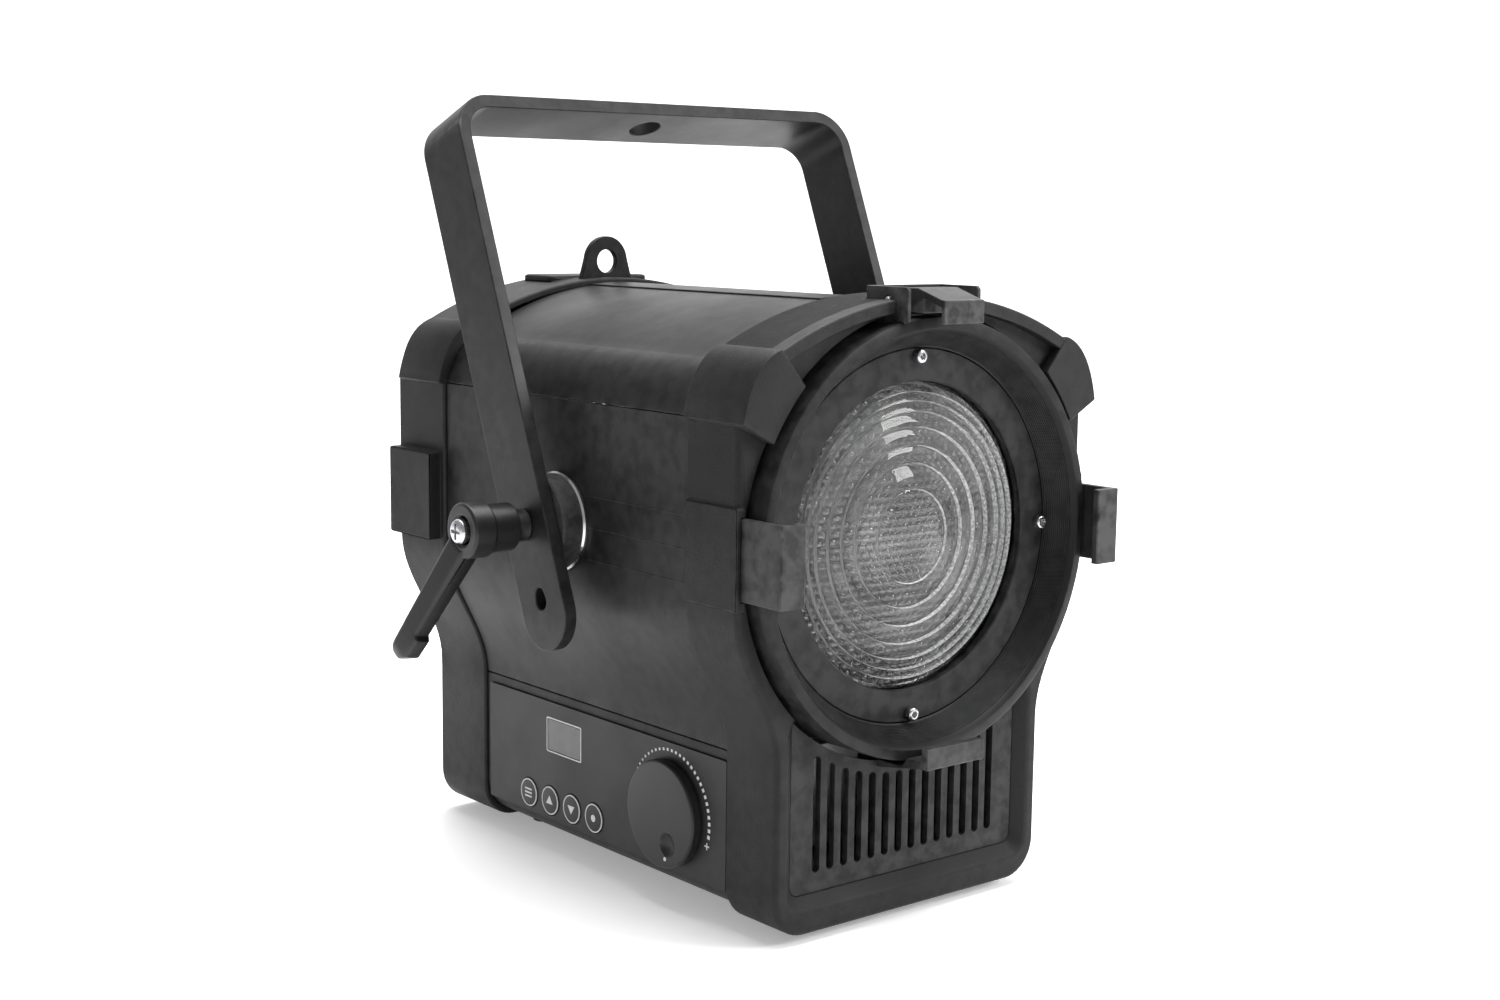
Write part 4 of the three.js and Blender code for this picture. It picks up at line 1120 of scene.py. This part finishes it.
def lever_handle():
    """The ratchet lever: a round hub with a recess for the screw's head, and the grip."""
    y = YOKE_PIVOT.y
    hub = turned("x", [(5.3, -132.6), (6.6, -134), (10.2, -134), (11, -133.2), (11, -124.8), (10.4, -124.2),
                       (9.6, -123.8), (9.5, -113), (8.9, -112.3), (4.5, -112.3), (4.5, -125.5), (2.4, -125.5),
                       (2.4, -128.5), (5.3, -128.5)], y, 0, 72)
    grip = lever_grip()
    cut(grip, bar("x", 8, -160, -111, y, 0, 48))
    joined(hub, grip)
    return bevelled(hub, 0.3, 2, 40)


def lever_screw():
    """The cross-headed screw that holds the lever on its stud."""
    y, low = YOKE_PIVOT.y, span("lever_screw_left")[0].x
    head = turned("x", [(0, low), (3.0, low), (4.3, low + 0.5), (4.9, low + 1.4), (4.9, -132.7),
                        (2.1, -132.7), (2.1, -121.8), (0, -121.8)], y, 0, 48)
    long, short, floor = 3.1, 0.6, -135.2
    cut(head, block((-150, y - long, -short), (floor, y + long, short)),
        block((-150, y - short, -long), (floor, y + short, long)))
    return bevelled(head, 0.12)


def clamp_stud():
    profile = [(0, -121.5), (4.2, -121.5), (4.2, -112), (5.9, -112), (6.5, -111.4), (6.5, -106.2),
               (5.9, -105.6), (4, -105.6), (4, -81), (0, -81)]
    return smooth(turned("x", profile, YOKE_PIVOT.y, 0, 48))


def clamp(side):
    hub, head, stud = (on_side(draw(), side) for draw in (lever_handle, lever_screw, clamp_stud))
    finish_piece(hub, f"lever_handle_{side}", "black_plastic", f"{side}_lever", nodes=[f"clamp_lever_{side}"])
    finish_piece(head, f"lever_screw_head_{side}", "zinc", f"{side}_stud", nodes=[f"lever_screw_{side}"])
    finish_piece(stud, f"stud_collar_{side}", "yoke_paint", f"{side}_stud",
                 nodes=[f"clamp_stud_{side}"])


# ---- feet, back and inner pieces ----
def feet():
    for corner in ("front_left", "front_right", "rear_left", "rear_right"):
        low, high = span(f"foot_{corner}")
        x, y, _ = centre(f"foot_{corner}")
        radius = (high.x - low.x) / 2
        profile = [(0, low.z + 1.2), (2, low.z + 1.2), (2.4, low.z + 0.2), (4, low.z), (4.6, low.z + 0.3),
                   (5.2, low.z + 1.4), (radius, high.z), (0, high.z)]
        foot = smooth(turned("z", profile, x, y, 48), 40)
        finish_piece(foot, f"rubber_{corner}", "rubber", nodes=[f"foot_{corner}"])


def back_panel():
    low, high = span("rear_panel")
    panel = prism("y", housing_outline(BEZEL, WALL + 3 * GAP), low.y, high.y)
    front, back = low.y - 5, high.y + 5
    holes = [bar("y", 37.5, front, back, count=96)]
    for name in SOCKETS:
        x, _, z = centre(name)
        holes.append(bar("y", 11.4, front, back, x, z, 40))
    for row in range(3):
        z, half = 56 + 8 * row, 34 - 4 * row
        holes.append(prism("y", rounded(-half, half, z - 1.6, z + 1.6, 1.5), front, back))
    cut(panel, *holes)
    bevelled(panel, 0.3)
    finish_piece(panel, "back_plate", "sheet_paint", nodes=["rear_panel"])


def socket(name):
    low, high = span(name)
    x, _, z = centre(name)
    plate_y = high.y - 2
    plate = prism("y", rounded(x - 12.5, x + 12.5, z - 15, z + 15, 2.5), plate_y, high.y)
    barrel = bar("y", 10.5, low.y, plate_y + 1, x, z)
    joined(plate, barrel)
    cut(plate, bar("y", 9.2, 220, high.y + 2, x, z))
    bevelled(plate, 0.35)
    finish_piece(plate, f"{name}_shell", "black_plastic", nodes=[name])
    pins = []
    count, reach = 3 if name.startswith("power") else 5, 5.2
    pin = [(0, 221), (0.9, 221), (0.9, 229), (0.5, 229.8), (0, 229.8)]
    for k in range(count):
        t = 2 * pi * (k + 0.5) / count
        pins.append(turned("y", pin, x + reach * cos(t), z + reach * sin(t), 16))
    finish_piece(smooth(merged(*pins)), f"{name}_pins", "zinc")
    for k, (dx, dz) in enumerate(((-9.6, 12.2), (9.6, -12.2))):
        dome = [(0, high.y + 1.2), (1.4, high.y + 1.0), (2.2, high.y), (0, high.y)]
        screw = turned("y", dome, x + dx, z + dz, 24)
        finish_piece(smooth(screw), f"{name}_screw_{k}", "zinc")


def guard():
    """Wire fan guard: round rings on two crossing wires."""
    y, wire = centre("fan_guard")[1], 0.9
    rings = [turned("y", circle(radius, y, wire, 10), count=96) for radius in (8, 15.5, 23, 30.5, 36)]
    for turn in (45, 135):
        spoke = bar("x", wire, -44, 44, y, 0, 12)
        spoke.data.transform(Matrix.Rotation(radians(turn), 4, "Y"))
        rings.append(spoke)
    finish_piece(smooth(merged(*rings), 60), "fan_guard_wires", "zinc", nodes=["fan_guard"])


def rotor():
    """A hub with seven twisted blades that widen outwards."""
    low, high = span("fan_rotor")
    middle = centre("fan_rotor")[1] + 1
    blade_count, steps, points = 7, 6, 16
    hub = turned("y", [(0, high.y), (13.6, high.y), (15, high.y - 1.4), (15, low.y), (0, low.y)], count=64)
    blades = [hub]
    for k in range(blade_count):
        sections = []
        for j in range(steps + 1):
            radius = 13 + 22.5 * j / steps
            chord = 7 + 3.2 * j / steps
            twist = radians(52 - 20 * j / steps)
            sweep = 0.12 * j
            outline = []
            for s in range(points):
                t = 2 * pi * s / points
                u, w = chord * cos(t), 0.75 * sin(t)
                outline.append((u * sin(twist) + w * cos(twist) + middle,
                                u * cos(twist) - w * sin(twist) + sweep * 4))
            sections.append((radius, outline))
        blade = loft("x", sections)
        blade.data.transform(Matrix.Rotation(2 * pi * k / blade_count, 4, "Y"))
        blades.append(blade)
    finish_piece(smooth(merged(*blades), 40), "fan_blades", "black_plastic", "fan_wheel", nodes=["fan_rotor"])


def inner_materials():
    """The CAD pieces whose shape is right keep it and get their finish here."""
    finishes = {"aluminium": ("chassis", "led_carriage", "heat_sink", "power_supply"),
                "steel": ("guide_rod_left", "guide_rod_right", "zoom_shaft", "zoom_rack"),
                "led_phosphor": ("led_module",), "bright_reflector": ("collimator",),
                "circuit_board": ("control_board",), "black_plastic": ("fan_frame",),
                "rubber": ("lens_gasket",)}
    for material, nodes in finishes.items():
        for node in nodes:
            mesh = frame["nodes"][node].data
            mesh.materials.clear()
            mesh.materials.append(MATERIALS[material])


# ---- studio ----
def camera():
    """The camera whose view gives the object's proportions."""
    data = bpy.data.cameras.new("camera")
    data.sensor_width = 36
    data.lens = 49.31
    data.clip_end = 50
    made = bpy.data.objects.new("camera", data)
    yaw, pitch, roll = radians(39.5525), radians(8.0551), radians(0.7139)
    forward = Vector((sin(yaw) * cos(pitch), cos(yaw) * cos(pitch), -sin(pitch)))
    level = forward.cross(Vector((0, 0, 1))).normalized()
    raised = level.cross(forward)
    right = level * cos(roll) + raised * sin(roll)
    up = right.cross(forward)
    place = LENS + Vector((-545.06, -561.14, 123.83)) * MM
    made.matrix_world = Matrix((right, up, -forward)).transposed().to_4x4()
    made.location = place
    scene.collection.objects.link(made)
    scene.camera = made


def backdrop():
    """A pale floor that curves up into a pale wall behind the object."""
    bm = bmesh.new()
    half, depth, height, bend = 6.0, 3.2, 4.0, 1.2
    profile = [(-5.0, 0.0)] + arc(depth - bend, bend, bend, -90, 0, 15) + [(depth, height)]
    rows = [[bm.verts.new((x, y, z)) for x in (-half, half)] for y, z in profile]
    for lower, upper in zip(rows, rows[1:]):
        bm.faces.new((lower[0], lower[1], upper[1], upper[0]))
    mesh = bpy.data.meshes.new("backdrop")
    bm.to_mesh(mesh)
    bm.free()
    mesh.polygons.foreach_set("use_smooth", [True] * len(mesh.polygons))
    made = bpy.data.objects.new("backdrop", mesh)
    made.matrix_world = Matrix.Rotation(-radians(39.55), 4, "Z")
    scene.collection.objects.link(made)
    g = Graph("backdrop_paper")
    g.set(Base_Color=g.mix(g.noise(400, 2), grey(0.86, NEUTRAL), grey(0.9, NEUTRAL)), Roughness=0.9)
    g.shader.inputs["Emission Color"].default_value = (1, 1, 1, 1)
    g.shader.inputs["Emission Strength"].default_value = 0.3
    mesh.materials.append(g.material)


def area_light(name, place, target, size, power):
    data = bpy.data.lights.new(name, "AREA")
    data.shape = "RECTANGLE"
    data.size, data.size_y = size
    data.energy = power
    made = bpy.data.objects.new(name, data)
    made.location = place
    direction = Vector(target) - Vector(place)
    made.rotation_euler = direction.to_track_quat("-Z", "Y").to_euler()
    scene.collection.objects.link(made)


def studio():
    world = bpy.data.worlds.new("studio")
    world.use_nodes = True
    world.node_tree.nodes["Background"].inputs[0].default_value = (1, 1, 1, 1)
    world.node_tree.nodes["Background"].inputs[1].default_value = 0.42
    scene.world = world
    middle = (0, 0, 0.16)
    area_light("top_softbox", (0.15, 0.0, 1.5), middle, (1.3, 1.1), 40)
    area_light("front_right_softbox", (1.0, -1.25, 0.95), middle, (0.45, 0.55), 20)
    area_light("backdrop_wash", (0.9, 1.4, 2.6), (1.4, 2.2, 0.6), (2.5, 1.5), 60)
    scene.view_settings.view_transform = "Standard"


camera()
front_frame()
front_grille()
front_brow()
ears()
rear_frame()
roof_cover()
side_sheet("left")
side_sheet("right")
tray()
panel_label()
zoom_scale()
display()
for key_name in KEYS:
    key_piece(key_name)
knob()
ring_piece()
retainer()
retainer_screws()
lens()
beads()
lens_cell()
for clip_side in ("left", "right", "bottom"):
    clip_piece(clip_side)
bracket()
latch()
latch_pin()
latch_spring()
safety_eye()
yoke()
for arm_side in ("left", "right"):
    friction_disc(arm_side)
    clamp(arm_side)
feet()
back_panel()
for socket_name in SOCKETS:
    socket(socket_name)
guard()
rotor()
inner_materials()
backdrop()
studio()
